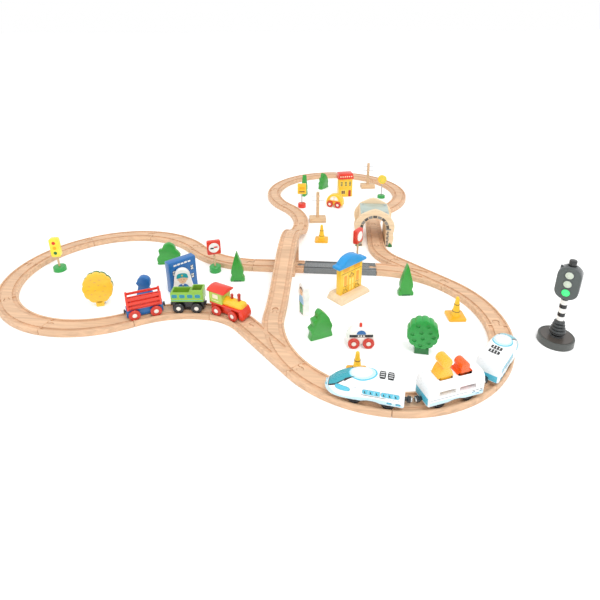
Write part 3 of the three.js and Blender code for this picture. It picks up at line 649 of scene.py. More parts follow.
def wheel_frame(joint):
    """The place of a wheelset: its middle, with Y along the axle."""
    axis = Vector(joint["axis"]).normalized()
    forward = axis.cross(Vector((0, 0, 1)))
    turn = Matrix((forward, axis, Vector((0, 0, 1)))).transposed().to_4x4()
    return Matrix.Translation(Vector(joint["pos_m"]) / MM) @ turn


UPRIGHT_TO_Y = Matrix.Rotation(math.radians(-90), 4, "X")


def wheels(node, joint_name, radius, rim, hub, slot, tread=None):
    piece = Piece(node + "_look", node, wheel_frame(JOINTS[joint_name]))
    inner, width = 11.2, 3.6
    for side in (-1, 1):
        flip = Matrix.Rotation(math.pi, 4, "X") if side < 0 else Matrix.Identity(4)
        place = flip @ UPRIGHT_TO_Y
        outer = inner + width
        profile = [(1.6, inner), (radius - 0.8, inner), (radius, inner + 0.6), (radius, outer - 0.8)]
        profile += [(radius - 0.7, outer), (radius * 0.74, outer + 0.1), (radius * 0.62, outer - 0.7), (radius * 0.4, outer - 0.6)]
        piece.lathe(profile + [(0.1, outer - 0.6)], rim, place, 36)
        cap = radius * 0.4
        dome = [(cap, outer - 0.8), (cap, outer - 0.1), (cap * 0.8, outer + 0.6), (cap * 0.4, outer + 0.9), (0.1, outer + 1.0)]
        piece.lathe(dome, hub, place, 24)
    piece.lathe([(1.5, -inner - 0.2), (1.5, inner + 0.2)], "silver", UPRIGHT_TO_Y, 12)
    piece.done((node,), slot)


for car, radius, rim, slot in (
    ("bullet_engine", 10.0, "wheel_black", "black_plastic"), ("bullet_wagon", 10.0, "wheel_black", "black_plastic"),
    ("bullet_tail", 10.0, "wheel_black", "black_plastic"), ("steam_engine", TOY_WHEEL, "wheel_red", "red_plastic"),
    ("green_wagon", TOY_WHEEL, "wheel_black", "black_plastic"), ("red_wagon", TOY_WHEEL, "wheel_red", "red_plastic"),
    ("police_car", CAR_WHEEL, "wheel_red", "red_plastic"), ("taxi", CAR_WHEEL, "wheel_red", "red_plastic"),
):
    for end in ("front", "rear"):
        wheels(f"{car}_{end}_wheels", f"{car}_{end}_axle", radius, rim, "silver" if car.startswith("bullet") else "hub_white", slot)


def car_frame(car, pivot=None):
    """A car's own place: X forwards, Y to its left, on the floor."""
    front, rear = (Vector(JOINTS[f"{car}_{end}_axle"]["pos_m"]) / MM for end in ("front", "rear"))
    middle = (front + rear) / 2
    if pivot is not None:
        centre = Vector(pivot) / MM
        spoke = Vector((middle.x - centre.x, middle.y - centre.y, 0))
        reach = Vector((front.x - centre.x, front.y - centre.y, 0)).length
        middle = centre + spoke.normalized() * reach
    way = front - rear
    return turned(middle.x, middle.y, 0, math.degrees(math.atan2(way.y, way.x)))


def rolling_frame(car):
    return car_frame(car, JOINTS[car + "_roll"]["pos_m"])


# ---------------------------------------------------------------- the bullet train


def through(points):
    """A smooth function through (x, value) points."""
    points = sorted(points)

    def value(x):
        if x <= points[0][0]:
            return points[0][1]
        for k in range(len(points) - 1):
            (x1, y1), (x2, y2) = points[k], points[k + 1]
            if x <= x2:
                x0, y0 = points[max(k - 1, 0)]
                x3, y3 = points[min(k + 2, len(points) - 1)]
                span = x2 - x1
                t = (x - x1) / span
                m1 = (y2 - y0) / max(x2 - x0, 0.001) * span
                m2 = (y3 - y1) / max(x3 - x1, 0.001) * span
                return (
                    (2 * t**3 - 3 * t**2 + 1) * y1 + (t**3 - 2 * t**2 + t) * m1
                    + (3 * t**2 - 2 * t**3) * y2 + (t**3 - t**2) * m2
                )
        return points[-1][1]

    return value


class Hull:
    """A streamlined body: half-width, roof and skirt heights along X, and how square its section is."""

    def __init__(self, half, roof, skirt, power):
        self.half, self.roof, self.skirt, self.power = half, roof, skirt, power

    def middle(self, x):
        return self.skirt(x) + 0.42 * (self.roof(x) - self.skirt(x))

    def ring(self, x, count=48):
        points = []
        half, roof, skirt, middle, power = self.half(x), self.roof(x), self.skirt(x), self.middle(x), self.power(x)
        for i in range(count):
            turn = 2 * math.pi * i / count
            c, s = math.cos(turn), math.sin(turn)
            n = power if s >= 0 else 7.0
            reach = roof - middle if s >= 0 else middle - skirt
            y = half * math.copysign(abs(c) ** (2 / n), c)
            points.append((x, y, middle + reach * math.copysign(abs(s) ** (2 / n), s)))
        return points

    def side(self, x, z, out, way):
        middle, n = self.middle(x), self.power(x)
        up = z >= middle
        share = abs(z - middle) / ((self.roof(x) - middle) if up else (middle - self.skirt(x)))
        n = n if up else 7.0
        y = self.half(x) * max(0.0, 1 - min(1, share) ** n) ** (1 / n)
        slope = (self.half(x + 0.5) - self.half(x - 0.5))
        return (x - out * slope, way * (y + out), z)

    def top(self, x, y, out):
        middle, n = self.middle(x), self.power(x)
        share = min(1, abs(y) / self.half(x))
        return (x, y, middle + (self.roof(x) - middle) * max(0.0, 1 - share**n) ** (1 / n) + out)


def patch(piece, surface, rows, paint_name, proud=0.3, place=None):
    """A thin skin on a surface, over rows of (a, b) places."""
    outer = [[surface(a, b, proud) for a, b in row] for row in rows]
    inner = [[surface(a, b, -0.4) for a, b in row] for row in rows]
    across, down = len(rows[0]), len(rows)
    verts = [v for row in outer for v in row] + [v for row in inner for v in row]
    under = across * down
    faces = []
    for j in range(down - 1):
        for i in range(across - 1):
            a, b, c, d = j * across + i, j * across + i + 1, (j + 1) * across + i + 1, (j + 1) * across + i
            faces += [(a, b, c, d), (under + d, under + c, under + b, under + a)]
    border = [(0, i) for i in range(across - 1)] + [(j, across - 1) for j in range(down - 1)]
    border += [(down - 1, i) for i in range(across - 1, 0, -1)] + [(j, 0) for j in range(down - 1, 0, -1)]
    indices = [j * across + i for j, i in border]
    for a, b in zip(indices, indices[1:] + indices[:1]):
        faces.append((b, a, under + a, under + b))
    piece.shell(verts, faces, paint_name, place)


def span(low, high, count):
    return [low + (high - low) * i / count for i in range(count + 1)]


def band(a0, a1, low, high, along=10, across=3):
    """Rows of places between two lines over a0 to a1."""
    return [[(a, b) for b in span(low(a), high(a), across)] for a in span(a0, a1, along)]


def flat(value):
    return lambda a: value


def oval(centre_a, centre_b, half_a, half_b, along=14, across=8, power=2.0):
    def width(a):
        return half_b * max(0.0004, 1 - abs((a - centre_a) / half_a) ** power) ** (1 / power)

    return band(centre_a - half_a, centre_a + half_a, lambda a: centre_b - width(a), lambda a: centre_b + width(a), along, across)


def skirt_line(x):
    """The skirt's lower edge, which arches up between the wheels."""
    return 18.5 + 2.6 * math.exp(-((x / 10.5) ** 4))


NOSE, TAIL, WAGON_END = 68.0, -46.0, 45.0
ENGINE_HULL = Hull(
    through([(-46, 18.5), (22, 18.5), (34, 18.2), (44, 17.2), (52, 15.2), (59, 12.2), (64, 8.4), (67, 4.4), (68, 1.4)]),
    through([(-46, 57), (6, 57), (14, 56.6), (24, 55.2), (34, 52.4), (44, 48.2), (52, 43.6), (59, 38.2), (64, 33.2), (67, 29.0), (68, 26.6)]),
    lambda x: skirt_line(x) + 6.2 * max(0.0, (x - 52) / 16) ** 2.2,
    through([(-46, 3.6), (10, 3.4), (30, 2.9), (50, 2.5), (68, 2.2)]),
)
WAGON_HULL = Hull(flat(18.5), flat(57.0), skirt_line, flat(3.6))


def hull_rings(hull, low, high, count, round_low, round_high):
    """Sections from end to end, drawn in at an end that is rounded off."""
    rings = []
    for i in range(count + 1):
        x = low + (high - low) * i / count
        rings.append(hull.ring(x))

    def shrunk(x, at, share):
        middle = hull.middle(at)
        return [(x, y * share[0], middle + (z - middle) * share[1]) for _, y, z in hull.ring(at)]

    if round_low:
        rings = [shrunk(low, low, (0.9, 0.93)), shrunk(low + 0.5, low, (0.955, 0.97)), shrunk(low + 1.6, low, (0.992, 0.994))] + rings[1:]
    if round_high:
        rings = rings[:-1] + [shrunk(high - 1.6, high, (0.992, 0.994)), shrunk(high - 0.5, high, (0.955, 0.97)), shrunk(high, high, (0.9, 0.93))]
    return rings


def coupler(piece, x, way, z=22.0, reach=11.0):
    """A black magnet case with a bright end, and the bar that holds it."""
    place = Matrix.Translation((x, 0, z)) @ Matrix.Rotation(math.radians(90 * way), 4, "Y")
    piece.lathe([(0.1, -2), (3, -2), (3, 3.4), (4.6, 4), (4.9, 4.6), (4.9, reach - 2.6), (4.4, reach - 2.0), (0.1, reach - 2)], "magnet_case", place, 20)
    piece.lathe([(0.1, reach - 2.4), (3.7, reach - 2.4), (3.7, reach - 0.4), (3.2, reach), (0.1, reach)], "silver", place, 20)


AXLE = 23.2


def wheel_openings(body, at):
    """Hollows for the wheels, open below."""
    tools = []
    for end in (-1, 1):
        for side in (-1, 1):
            low, high = sorted((side * 8.4, side * 17.2))
            tool = Piece("well", at=at)
            tool.slab(rectangle(end * AXLE - 12.4, low, end * AXLE + 12.4, high, 0.4), 5, 30.6, "ink", 0.01)
            tools.append(tool.done())
        arch = Piece("well", at=at)
        arch.slab(bend(end * AXLE, 13.4, 11.4, 0, 180, 14) + [(end * AXLE - 11.4, 2), (end * AXLE + 11.4, 2)], -19.5, 19.5, "ink", 0.01, "y")
        tools.append(arch.done())
    carve(body, tools)


def bullet_end(name, way):
    """A streamlined end car. way is 1 for the engine and -1 for the tail, which faces the other way."""
    at = rolling_frame(name) @ Matrix.Rotation(0 if way > 0 else math.pi, 4, "Z")
    body = Piece(name, name, at)
    body.rings(hull_rings(ENGINE_HULL, TAIL, NOSE, 76, True, False), "shell_white")
    made_body = body.done((name,), "white_plastic")
    wheel_openings(made_body, at)
    hull = ENGINE_HULL
    piece = Piece(name + "_trim", name, at)
    coupler(piece, -46, -1)
    for side in (-1, 1):

        def flank(a, b, out, side=side):
            return hull.side(a, b, out, side)

        def skirt_top(x):
            return 26.6 + 2.2 * math.sin((x + 30) / 16.0) + 9.5 * max(0.0, (x - 44) / 22) ** 1.6

        patch(piece, flank, band(-44.4, 66.2, lambda x: hull.skirt(x) + 0.8, skirt_top, 64, 5), "ice", 0.16)
        for group in (-24.6, 1.4):
            patch(piece, flank, oval(group - 2.2, 38.4, 12.9, 4.2, 24, 4, 8.0), "grey_print", 0.16)
            patch(piece, flank, oval(group - 2.2, 38.4, 12.5, 3.8, 24, 4, 8.0), "cyan", 0.26)
            for k in range(3):
                x = group - 2.2 + (k - 1) * 8.2
                patch(piece, flank, band(x - 4.0, x - 3.6, flat(35.4), flat(41.4), 1, 2), "shell_white", 0.36)
                patch(piece, flank, band(x + 0.4, x + 1.7, flat(36.2), flat(39.6), 2, 2), "ink", 0.4)
                patch(piece, flank, band(x - 0.6, x + 0.4, flat(36.0), flat(37.0), 2, 1), "ink", 0.4)
        patch(piece, flank, band(-21, 13.5, flat(32.2), flat(32.8), 16, 1), "ink", 0.22)
        for x in (-42, -35, -28):
            patch(piece, flank, band(x, x + 4.6, flat(31.6), flat(32.1), 2, 1), "grey_print", 0.22)
        patch(piece, flank, oval(40, 37.6, 11.2, 3.9, 20, 4, 3.0), "teal", 0.22)
        patch(piece, flank, oval(40, 37.6, 10.7, 3.4, 20, 4, 3.0), "cyan", 0.34)
        patch(piece, flank, oval(22.4, 38.8, 3.6, 4.2, 8, 3, 6.0), "grey_print", 0.2)
        patch(piece, flank, oval(22.4, 38.8, 3.2, 3.8, 8, 3, 6.0), "shell_white", 0.3)
        for x in (-38, -26):
            patch(piece, flank, oval(x, 25.4, 3.6, 1.6, 8, 3, 5.0), "window_blue", 0.26)
            patch(piece, flank, oval(x, 25.6, 2.4, 0.8, 8, 3, 5.0), "cyan", 0.36)

        def shoulder(a, b, out, side=side):
            x, y, z = hull.top(a, side * b, out)
            return (x, y, z)

        def screen_edge(x):
            return hull.half(x) * (0.5 + 0.34 * min(1.0, (x - 26) / 24))

        patch(piece, shoulder, band(28, 61.4, lambda x: 0.2, screen_edge, 28, 6), "screen", 0.22)
        patch(piece, shoulder, band(28, 61.8, lambda x: screen_edge(x) - 0.1, lambda x: screen_edge(x) + 0.9, 28, 2), "ink", 0.34)
        patch(piece, shoulder, band(24.5, 38, lambda x: 9.4 + (x - 24.5) * 0.12, lambda x: 9.8 + (x - 24.5) * 0.32, 10, 2), "ink", 0.46)
        patch(piece, shoulder, band(61.2, 62.1, flat(0.2), lambda x: screen_edge(61) + 0.8, 2, 5), "ink", 0.4)
        patch(piece, shoulder, band(63.4, 67.2, flat(0.2), lambda x: hull.half(x) * 0.9, 6, 5), "cyan", 0.2)
    patch(piece, hull.top, oval(13.5, 0, 20.5, 14.6, 30, 18), "cyan", 0.24)
    patch(piece, hull.top, oval(14.0, 0, 18.6, 13.2, 30, 18), "ice", 0.36)
    patch(piece, hull.top, oval(15.0, 0, 15.2, 11.2, 30, 16), "roof_white", 0.9)
    for x in (-14, -25.5):
        patch(piece, hull.top, oval(x, 0, 4.6, 8.0, 10, 10, 7.0), "ink", 0.34)
        for y in (-4.2, 0, 4.2):
            patch(piece, hull.top, band(x - 3.2, x + 3.2, flat(y - 0.55), flat(y + 0.55), 3, 2), "shell_white", 0.6)
    patch(piece, hull.top, band(-36.4, -36.0, flat(-8.5), flat(8.5), 1, 12), "grey_print", 0.14)
    lamp = hull.side(60.5, 27.5, 0, 1)
    for side in (-1, 1):
        place = Matrix.Translation((lamp[0], side * lamp[1], lamp[2])) @ Matrix.Rotation(math.radians(78), 4, "Y")
        piece.lathe([(0.1, -0.8), (1.7, -0.8), (1.7, 0.4), (1.2, 0.8), (0.1, 1.0)], "lens", place, 16)

    def end_face(a, b, out):
        return (TAIL - out, b, a)

    patch(piece, end_face, band(20.4, 31.0, flat(-15.4), flat(15.4), 2, 6), "cyan", 0.2)
    piece.done(slot="white_plastic")


bullet_end("bullet_engine", 1)
bullet_end("bullet_tail", -1)
SEAT_X, SEAT_HALF = 15.5, 11.0


def bullet_wagon():
    at = rolling_frame("bullet_wagon")
    body = Piece("bullet_wagon", "bullet_wagon", at)
    body.rings(hull_rings(WAGON_HULL, -WAGON_END, WAGON_END, 60, True, True), "shell_white")
    made_body = body.done(("bullet_wagon",), "white_plastic")
    wheel_openings(made_body, at)
    tools = []
    for x in (-SEAT_X, SEAT_X):
        well = Piece("well", at=at)
        well.slab(rectangle(x - SEAT_HALF, -11, x + SEAT_HALF, 11, 1.0), 30, 70, "shell_white", 0.01)
        tools.append(well.done())
        window = Piece("window", at=at)
        window.slab(rectangle(x * 1.05 - 13.6, 35.4, x * 1.05 + 13.6, 43.6, 1.2), -30, 30, "shell_white", 0.01, "y")
        tools.append(window.done())
    carve(made_body, tools)
    piece = Piece("bullet_wagon_trim", "bullet_wagon", at)
    hull = WAGON_HULL
    for way in (-1, 1):
        coupler(piece, way * WAGON_END, way)

        def end_face(a, b, out, way=way):
            return (way * (WAGON_END + out), b, a)

        patch(piece, end_face, band(21.0, 33.0, flat(-15.4), flat(15.4), 2, 6), "cyan", 0.2)
    for side in (-1, 1):

        def flank(a, b, out, side=side):
            return hull.side(a, b, out, side)

        patch(piece, flank, band(-43.4, 43.4, lambda x: hull.skirt(x) + 0.9, lambda x: 27.4 + 0.5 * math.sin(x / 15), 44, 4), "ice", 0.16)
        patch(piece, flank, band(-18, 42, flat(31.2), flat(31.9), 16, 1), "grey_print", 0.24)
        for x in (-42, -35.6, -29.2):
            patch(piece, flank, band(x, x + 4.6, flat(31.2), flat(31.9), 3, 1), "ink", 0.24)
        for x, z in ((-42, 27.8), (-36, 24.6), (-29.6, 28.0)):
            patch(piece, flank, band(x, x + 5.2, flat(z), flat(z + 1.2), 3, 1), "window_blue", 0.28)
        patch(piece, flank, oval(-38.6, 38, 2.2, 3.2, 8, 4, 6.0), "grey_print", 0.2)
        patch(piece, flank, oval(-38.6, 38, 1.8, 2.8, 8, 4, 6.0), "shell_white", 0.3)
        patch(piece, flank, oval(38.4, 40, 2.8, 5.0, 8, 4, 6.0), "grey_print", 0.16)
        patch(piece, flank, oval(38.4, 40, 2.5, 4.7, 8, 4, 6.0), "shell_white", 0.26)
    piece.done(slot="white_plastic")


bullet_wagon()


def passenger(node, x, neck, head, radius, waist, colour, slot):
    """A flat-sided figure with a stem in its seat and a coat that spreads over the roof."""
    coat = 57.4
    lift = math.degrees(math.asin(min(1, (head - neck) / radius)))
    outline = [(-8.8, 31.2), (8.8, 31.2), (8.8, coat), (12.6, coat), (12.4, coat + 1.2)]
    outline += [(waist + 3.6, neck - 7.5), (waist + 0.9, neck - 2.6)]
    outline += bend(0, head, radius, -lift, 180 + lift, 26)
    outline += [(-waist - 0.9, neck - 2.6), (-waist - 3.6, neck - 7.5), (-12.4, coat + 1.2), (-12.6, coat), (-8.8, coat)]
    piece = Piece(node + "_look", node, rolling_frame("bullet_wagon") @ turned(x, 0))
    piece.slab(outline, -9.3, 9.3, colour, 1.3, "y")
    piece.done((node,), slot)


passenger("passenger_yellow", SEAT_X, 73.5, 80.5, 8.4, 5.9, "figure_yellow", "yellow_paint")
passenger("passenger_orange", -SEAT_X, 62.5, 67, 7.4, 6.2, "figure_orange", "orange_plastic")

# ---------------------------------------------------------------- the wooden train
DECK = 33.0


def hitch(piece, x, way, z=24.0):
    """A dark magnet on a pin, at the end of a wooden car."""
    place = Matrix.Translation((x, 0, z)) @ Matrix.Rotation(math.radians(90 * way), 4, "Y")
    piece.lathe([(0.1, -2), (2.2, -2), (2.2, 1.2), (4.3, 1.4), (4.5, 1.9), (4.5, 3.4), (4.0, 3.9), (0.1, 3.9)], "magnet_case", place, 20)
    piece.lathe([(0.1, 3.6), (3.0, 3.6), (2.8, 4.3), (0.1, 4.4)], "silver", place, 20)


def chassis(name, at, low, high, top, axle, paint_name):
    """The beam between the wheels, slotted for the axles."""
    beam = Piece(name, name.rsplit("_", 1)[0], at)
    beam.slab(rectangle(low, -8, high, 8, 1.2), 14, top, paint_name, 0.8)
    made_beam = beam.done(slot="beech")
    carve(made_beam, axle_slots(at, axle, paint_name))


def axle_slots(at, axle, paint_name):
    tools = []
    for end in (-1, 1):
        slot_tool = Piece("slot", at=at)
        x, z = end * axle, 9.3 + TOY_WHEEL
        slot_tool.slab([(x - 2.4, 5), (x + 2.4, 5)] + bend(x, z, 2.4, 0, 180, 8), -20, 20, paint_name, 0.01, "y")
        tools.append(slot_tool.done())
    return tools


def steam_engine():
    at = rolling_frame("steam_engine")
    body = Piece("steam_engine_body", "steam_engine", at)
    body.slab(rectangle(-36, -8.6, 34, 8.6, 1.0), 15, DECK, "red", 0.8)
    made_body = body.done(slot="red_paint")
    carve(made_body, axle_slots(at, 20, "red"))
    piece = Piece("steam_engine_look", "steam_engine", at)
    piece.slab(rectangle(-36, -13, 36.6, 13, 1.6), DECK - 2, DECK + 2, "red", 0.9)
    nose = [(32, 15), (40, 15), (41.6, 17), (41.8, 24), (40.4, 29), (37, 35.6), (35.6, 36.2), (32, 36.2)]
    piece.slab(nose, -13, 13, "red", 1.5, "y")
    cab = Piece("steam_engine_cab", "steam_engine", at)
    cab.slab(rectangle(-36, -13, -5.5, 13, 1.2), DECK + 1.8, 59, "lime", 0.7)
    made_cab = cab.done(slot="red_paint")
    window = Piece("window", at=at)
    window.slab(rectangle(-28.6, 43, -14.4, 53, 1.0), -30, 30, "cream", 0.01, "y")
    carve(made_cab, [window.done()])
    glass = Piece("steam_engine_window", "steam_engine", at)
    glass.slab(rectangle(-28.4, 43.2, -14.6, 52.8, 0.8), -12.2, 12.2, "cream", 0.3, "y")
    glass.decal(rectangle(-29.4, 39.2, -13, 40.3, 0.3), 13, "cream", proud=0.2)
    glass.done(slot="red_paint")
    crown_line = smooth([(15.6, 60), (10.6, 63.2), (0, 65.2), (-10.6, 63.2), (-15.6, 60)], 5, False)
    roof = [(-15, 57.8), (15, 57.8), *crown_line]
    piece.slab(roof, -39, 1, "red", 1.1, "x")
    boiler = [(-9.4, DECK + 1), (9.4, DECK + 1), (9.5, 38)] + bend(0, 38, 9.5, 6, 174, 16) + [(-9.5, 38)]
    piece.slab(boiler, -6, 35, "yellow", 1.0, "x")
    front = Matrix.Translation((0, 0, 38)) @ Matrix.Scale(0.88, 4) @ Matrix.Translation((4.9, 0, -38))
    piece.slab(boiler, 33, 36.4, "yellow", 1.6, "x", front)
    for x, top, r in ((9, 56.8, 2.4), (25, 61.3, 2.9)):
        chimney = [(0.1, 44), (r, 44), (r, top - 5), (r + 0.4, top - 4), (r + 0.4, top - 1), (r - 0.5, top), (0.1, top)]
        piece.lathe(chimney, "dark_red", turned(x, 0), 22)
    hitch(piece, -36, -1)
    piece.done(("steam_engine",), "red_paint")


def green_wagon():
    at = rolling_frame("green_wagon")
    chassis("green_wagon_chassis", at, -30, 30, DECK - 0.2, 17.5, "chassis")
    tub = Piece("green_wagon_tub", "green_wagon", at)
    side = [(-30.5, DECK), (30.5, DECK), (30.5, 56), (29.6, 57), (9, 57), (6.5, 54.6), (5.6, 52), (-29.6, 52), (-30.5, 51)]
    tub.slab(side, -12.5, 12.5, "olive", 0.9, "y")
    made_tub = tub.done(("green_wagon",), "green_paint")
    tools = []
    for low, high, floor_z in ((-27.2, 3.6, DECK + 5), (9.8, 27.4, 46)):
        hollow = Piece("hollow", at=at)
        hollow.slab(rectangle(low, -9.2, high, 9.2, 1.2), floor_z, 90, "olive_dark", 0.01)
        tools.append(hollow.done())
    carve(made_tub, tools)
    piece = Piece("green_wagon_trim", "green_wagon", at)
    # A near-black sheet on the pocket's floor: painted shade standing in for the shadow at the bottom of the hollow.
    piece.slab(rectangle(10.2, -8.8, 27, 8.8, 1.0), 45.8, 46.6, "pocket_painted_shade", 0.2)
    for x in (-23, -8.6, 5.8, 20.2):
        piece.decal(rectangle(x - 5.2, 41.4, x + 5.2, 48.8, 2.2), 12.5, "teal", proud=0.25)
        piece.decal(rectangle(x - 4.3, 42.2, x + 4.3, 48.0, 1.6), 12.5, "window_blue", proud=0.38)
    piece.decal(rectangle(-29.4, DECK + 2.6, 29.4, DECK + 3.8, 0.4), 12.5, "teal", proud=0.2)
    piece.decal(rectangle(-29.4, DECK + 4.0, 29.4, DECK + 4.9, 0.4), 12.5, "lime", proud=0.2)
    piece.slab(rectangle(-29, -10, 29, 10, 1), DECK - 2.4, DECK - 0.1, "chassis", 0.4)
    hitch(piece, -30, -1)
    hitch(piece, 30, 1)
    piece.done(slot="green_paint")


def red_wagon():
    at = rolling_frame("red_wagon")
    chassis("red_wagon_chassis", at, -33, 33, 31.2, 20, "blue")
    piece = Piece("red_wagon_look", "red_wagon", at)
    piece.slab(rectangle(-31, -12.5, 31, 12.5, 1.0), 31, 35, "red", 0.7)
    for side in (-1, 1):
        low, high = sorted((side * 12.5, side * 10))
        for bottom, top in ((31, 37), (41, 46.4), (50.8, 55.6)):
            piece.slab(rectangle(-30.4, low, 30.4, high, 0.8), bottom, top, "red", 0.6)
    for end in (-1, 1):
        board = [(-12.9, 30.8), (12.9, 30.8), (12.9, 55.6), (11.8, 57.6), (8.2, 57.6), (7.0, 55.4), (6.2, 51.6)]
        board += [(-u, v) for u, v in board[::-1][:-2]]
        low, high = sorted((end * 31.3, end * 27.4))
        piece.slab(board, low, high, "red", 0.8, "x")
        hitch(piece, end * 33, end)
    piece.done(("red_wagon",), "red_paint")


steam_engine()
green_wagon()
red_wagon()

# ---------------------------------------------------------------- the toy signal


def signal():
    at = stands(294, -15, -31)
    piece = Piece("signal_look", at=at)
    foot = [(0.1, 0), (28.8, 0), (29.2, 0.6), (28.8, 12.2), (28.2, 13.0), (27.0, 13.2), (26.4, 12.6), (25.6, 12.4), (0.1, 12.6)]
    piece.lathe(foot, "signal_foot", sides=64)
    piece.lathe([(0.1, 12.2), (25.4, 12.2), (25.2, 12.9), (0.1, 13.0)], "signal_disc", sides=64)
    piece.lathe([(0.1, 12.4), (11.4, 12.6), (9.6, 15), (12.6, 19.6), (12.4, 21.6), (10.6, 23), (0.1, 23)], "ink", sides=40)
    bellows = [(0.1, 20)]
    for i in range(4):
        r, z = 12.6 - 1.35 * i, 21.6 + 5.6 * i
        bellows += [(r - 1.8, z - 0.8), (r, z + 0.5), (r + 0.3, z + 1.8), (r - 0.3, z + 3.2), (r - 2.0, z + 4.2)]
    piece.lathe(bellows + [(6.2, 44.6), (0.1, 44.6)], "signal_dark", sides=40)
    bands = ((44, 52.5, "white"), (52.5, 59.5, "ink"), (59.5, 68.5, "white"), (68.5, 75.5, "ink"), (75.5, 84.5, "white"), (84.5, 92, "ink"))
    for low, high, colour in bands:
        wide = 6.0 if colour == "ink" else 5.6
        ring_profile = [(0.1, low), (wide - 0.3, low), (wide, low + 0.4), (wide, high - 0.4), (wide - 0.3, high), (0.1, high)]
        piece.lathe(ring_profile, colour, sides=28)
    piece.slab(rectangle(-17.8, 88, 17.8, 147, 16, 8), -9.6, 9.6, "signal_grey", 1.6, "y")
    piece.decal(rectangle(-16.6, 89.2, 16.6, 145.8, 15, 8), 9.6, "signal_face", sides=(1,), proud=0.6)
    for z, lamp in ((133.5, "lens"), (117.5, "lens"), (101.5, "green_lamp")):
        front = Matrix.Translation((0, -9.8, z)) @ Matrix.Rotation(math.radians(90), 4, "X")
        piece.lathe([(7.3, -0.6), (7.5, 0.9), (6.9, 1.5), (6.2, 0.9), (6.2, -0.6)], "signal_grey", front, 32, loop=True)
        piece.lathe([(0.1, -0.6), (6.1, -0.6), (6.1, 1.0), (5.8, 1.8), (4.6, 2.4), (4.4, 1.9), (2.6, 2.2), (2.4, 2.9), (0.1, 3.2)], lamp, front, 32)
    piece.lathe([(0.1, 138), (1.8, 138), (1.8, 143.6), (1.2, 144.6), (0.1, 144.6)], "signal_grey", turned(-14.6, 0, 0), 16)
    made_signal = piece.done(("signal_post",), "dark_plastic")
    button = Piece("signal_button_look", "signal_button", at)
    cap = [(0.1, 146.2), (5.5, 146.2), (5.5, 147.4), (5.9, 148), (5.9, 156), (5.2, 157.2), (3.2, 157.5), (0.1, 157.5)]
    button.lathe(cap, "button_rubber", sides=28)
    button.done(("signal_button",), "black_rubber")
    collar = Piece("signal_collar", at=at)
    collar.lathe([(6.6, 144.4), (8.4, 144.4), (8.4, 146.8), (7.8, 147.6), (6.6, 147.6)], "signal_grey", sides=32, loop=True)
    collar.done(slot="dark_plastic")


signal()

# ---------------------------------------------------------------- the wooden cars


def dome(half, base, top, count=22, power=2.3):
    """The half-round side of a toy car."""
    points = [(half - 1.5, base), (half, base + 1.5)]
    for i in range(1, count):
        turn = math.pi * i / count
        c, s = math.cos(turn), math.sin(turn)
        points.append((half * math.copysign(abs(c) ** (2 / power), c), base + 3 + (top - base - 3) * abs(s) ** (2 / power)))
    return points + [(-half, base + 1.5), (-half + 1.5, base)]


def toy_car(name, colour, slot, half, top):
    at = car_frame(name)
    body = Piece(name, "root", at)
    body.slab(dome(half, 7, top), -10.5, 10.5, colour, 1.5, "y")
    made_body = body.done((name,), slot)
    tools = []
    for x in (-12.5, 12.5):
        tool = Piece("slot", at=at)
        tool.slab([(x - 2.1, 1), (x + 2.1, 1)] + bend(x, CAR_WHEEL, 2.1, 0, 180, 8), -20, 20, colour, 0.01, "y")
        tools.append(tool.done())
    carve(made_body, tools)
    piece = Piece(name + "_trim", "root", at)
    if name == "police_car":
        piece.decal([(20, 21), (20, 26.2), (-20, 26.2), (-20, 21)], 10.5, "ink", proud=0.3)
        piece.decal([(x, 26.8) for x in (8, -8)] + bend(0, 26.8, 8, 180, 0, 14)[1:-1], 10.5, "blue", proud=0.3)
        for x in (-4.5, 0, 4.5):
            piece.decal(rectangle(x - 1.4, 22.4, x + 1.4, 25, 0.4), 10.5, "white", proud=0.45)
        piece.lathe([(0.1, top - 1.4), (2.4, top - 1.4), (2.4, top + 5), (1.8, top + 6.6), (0.8, top + 7), (0.1, top + 7)], "red", sides=20)
    else:
        window = [(-14, 22.5), (14, 22.5)] + bend(0, 22.5, 13.6, 20, 160, 14)
        piece.decal(window, 10.5, "cream", proud=0.25)
        piece.decal(rectangle(-9, 23.6, 9, 31, 2.2), 10.5, "white", proud=0.4)
        piece.decal(rectangle(-0.8, 22.6, 0.8, 34, 0.3), 10.5, "deep_yellow", proud=0.5)
        piece.decal(rectangle(-20, 17.6, 20, 20.4, 0.6), 10.5, "orange", proud=0.25)
    piece.done(slot=slot)


toy_car("police_car", "white", "white_paint", 24, 36)
toy_car("taxi", "yellow", "yellow_paint", 26, 40)

# ---------------------------------------------------------------- buildings


def police_station():
    piece = Piece("police_station_look", at=stands(-412, 86, 48))
    piece.slab(rectangle(-30, 0, 30, 70, 0.8), -9, 9, "blue", 0.8, "y")
    for i, (low, high) in enumerate(((-20, -13), (-11.6, -5.6), (-4, 2), (3.6, 10), (11.6, 18))):
        piece.decal(rectangle(low, 60.4, high, 63.8 + 0.4 * (i % 2), 0.8), 9, "white", proud=0.25)
    for x, z in ((20, 46), (20, 27), (-20, 46), (-20, 27)):
        piece.decal(rectangle(x - 3.4, z - 5.4, x + 3.4, z + 5.4, 0.8), 9, "ink", proud=0.2)
        for u in (-1.5, 1.5):
            for v in (-2.6, 2.6):
                pane = rectangle(x + u - 1.1, z + v - 2, x + u + 1.1, z + v + 2, 0.3)
                piece.decal(pane, 9, "white", proud=0.34)
    piece.decal(gate(8, 12, 1, 12), 9, "roof_blue", proud=0.22)
    piece.decal(gate(6.4, 12, 1, 12), 9, "ink", proud=0.3)
    piece.done(("police_station",), "blue_paint")


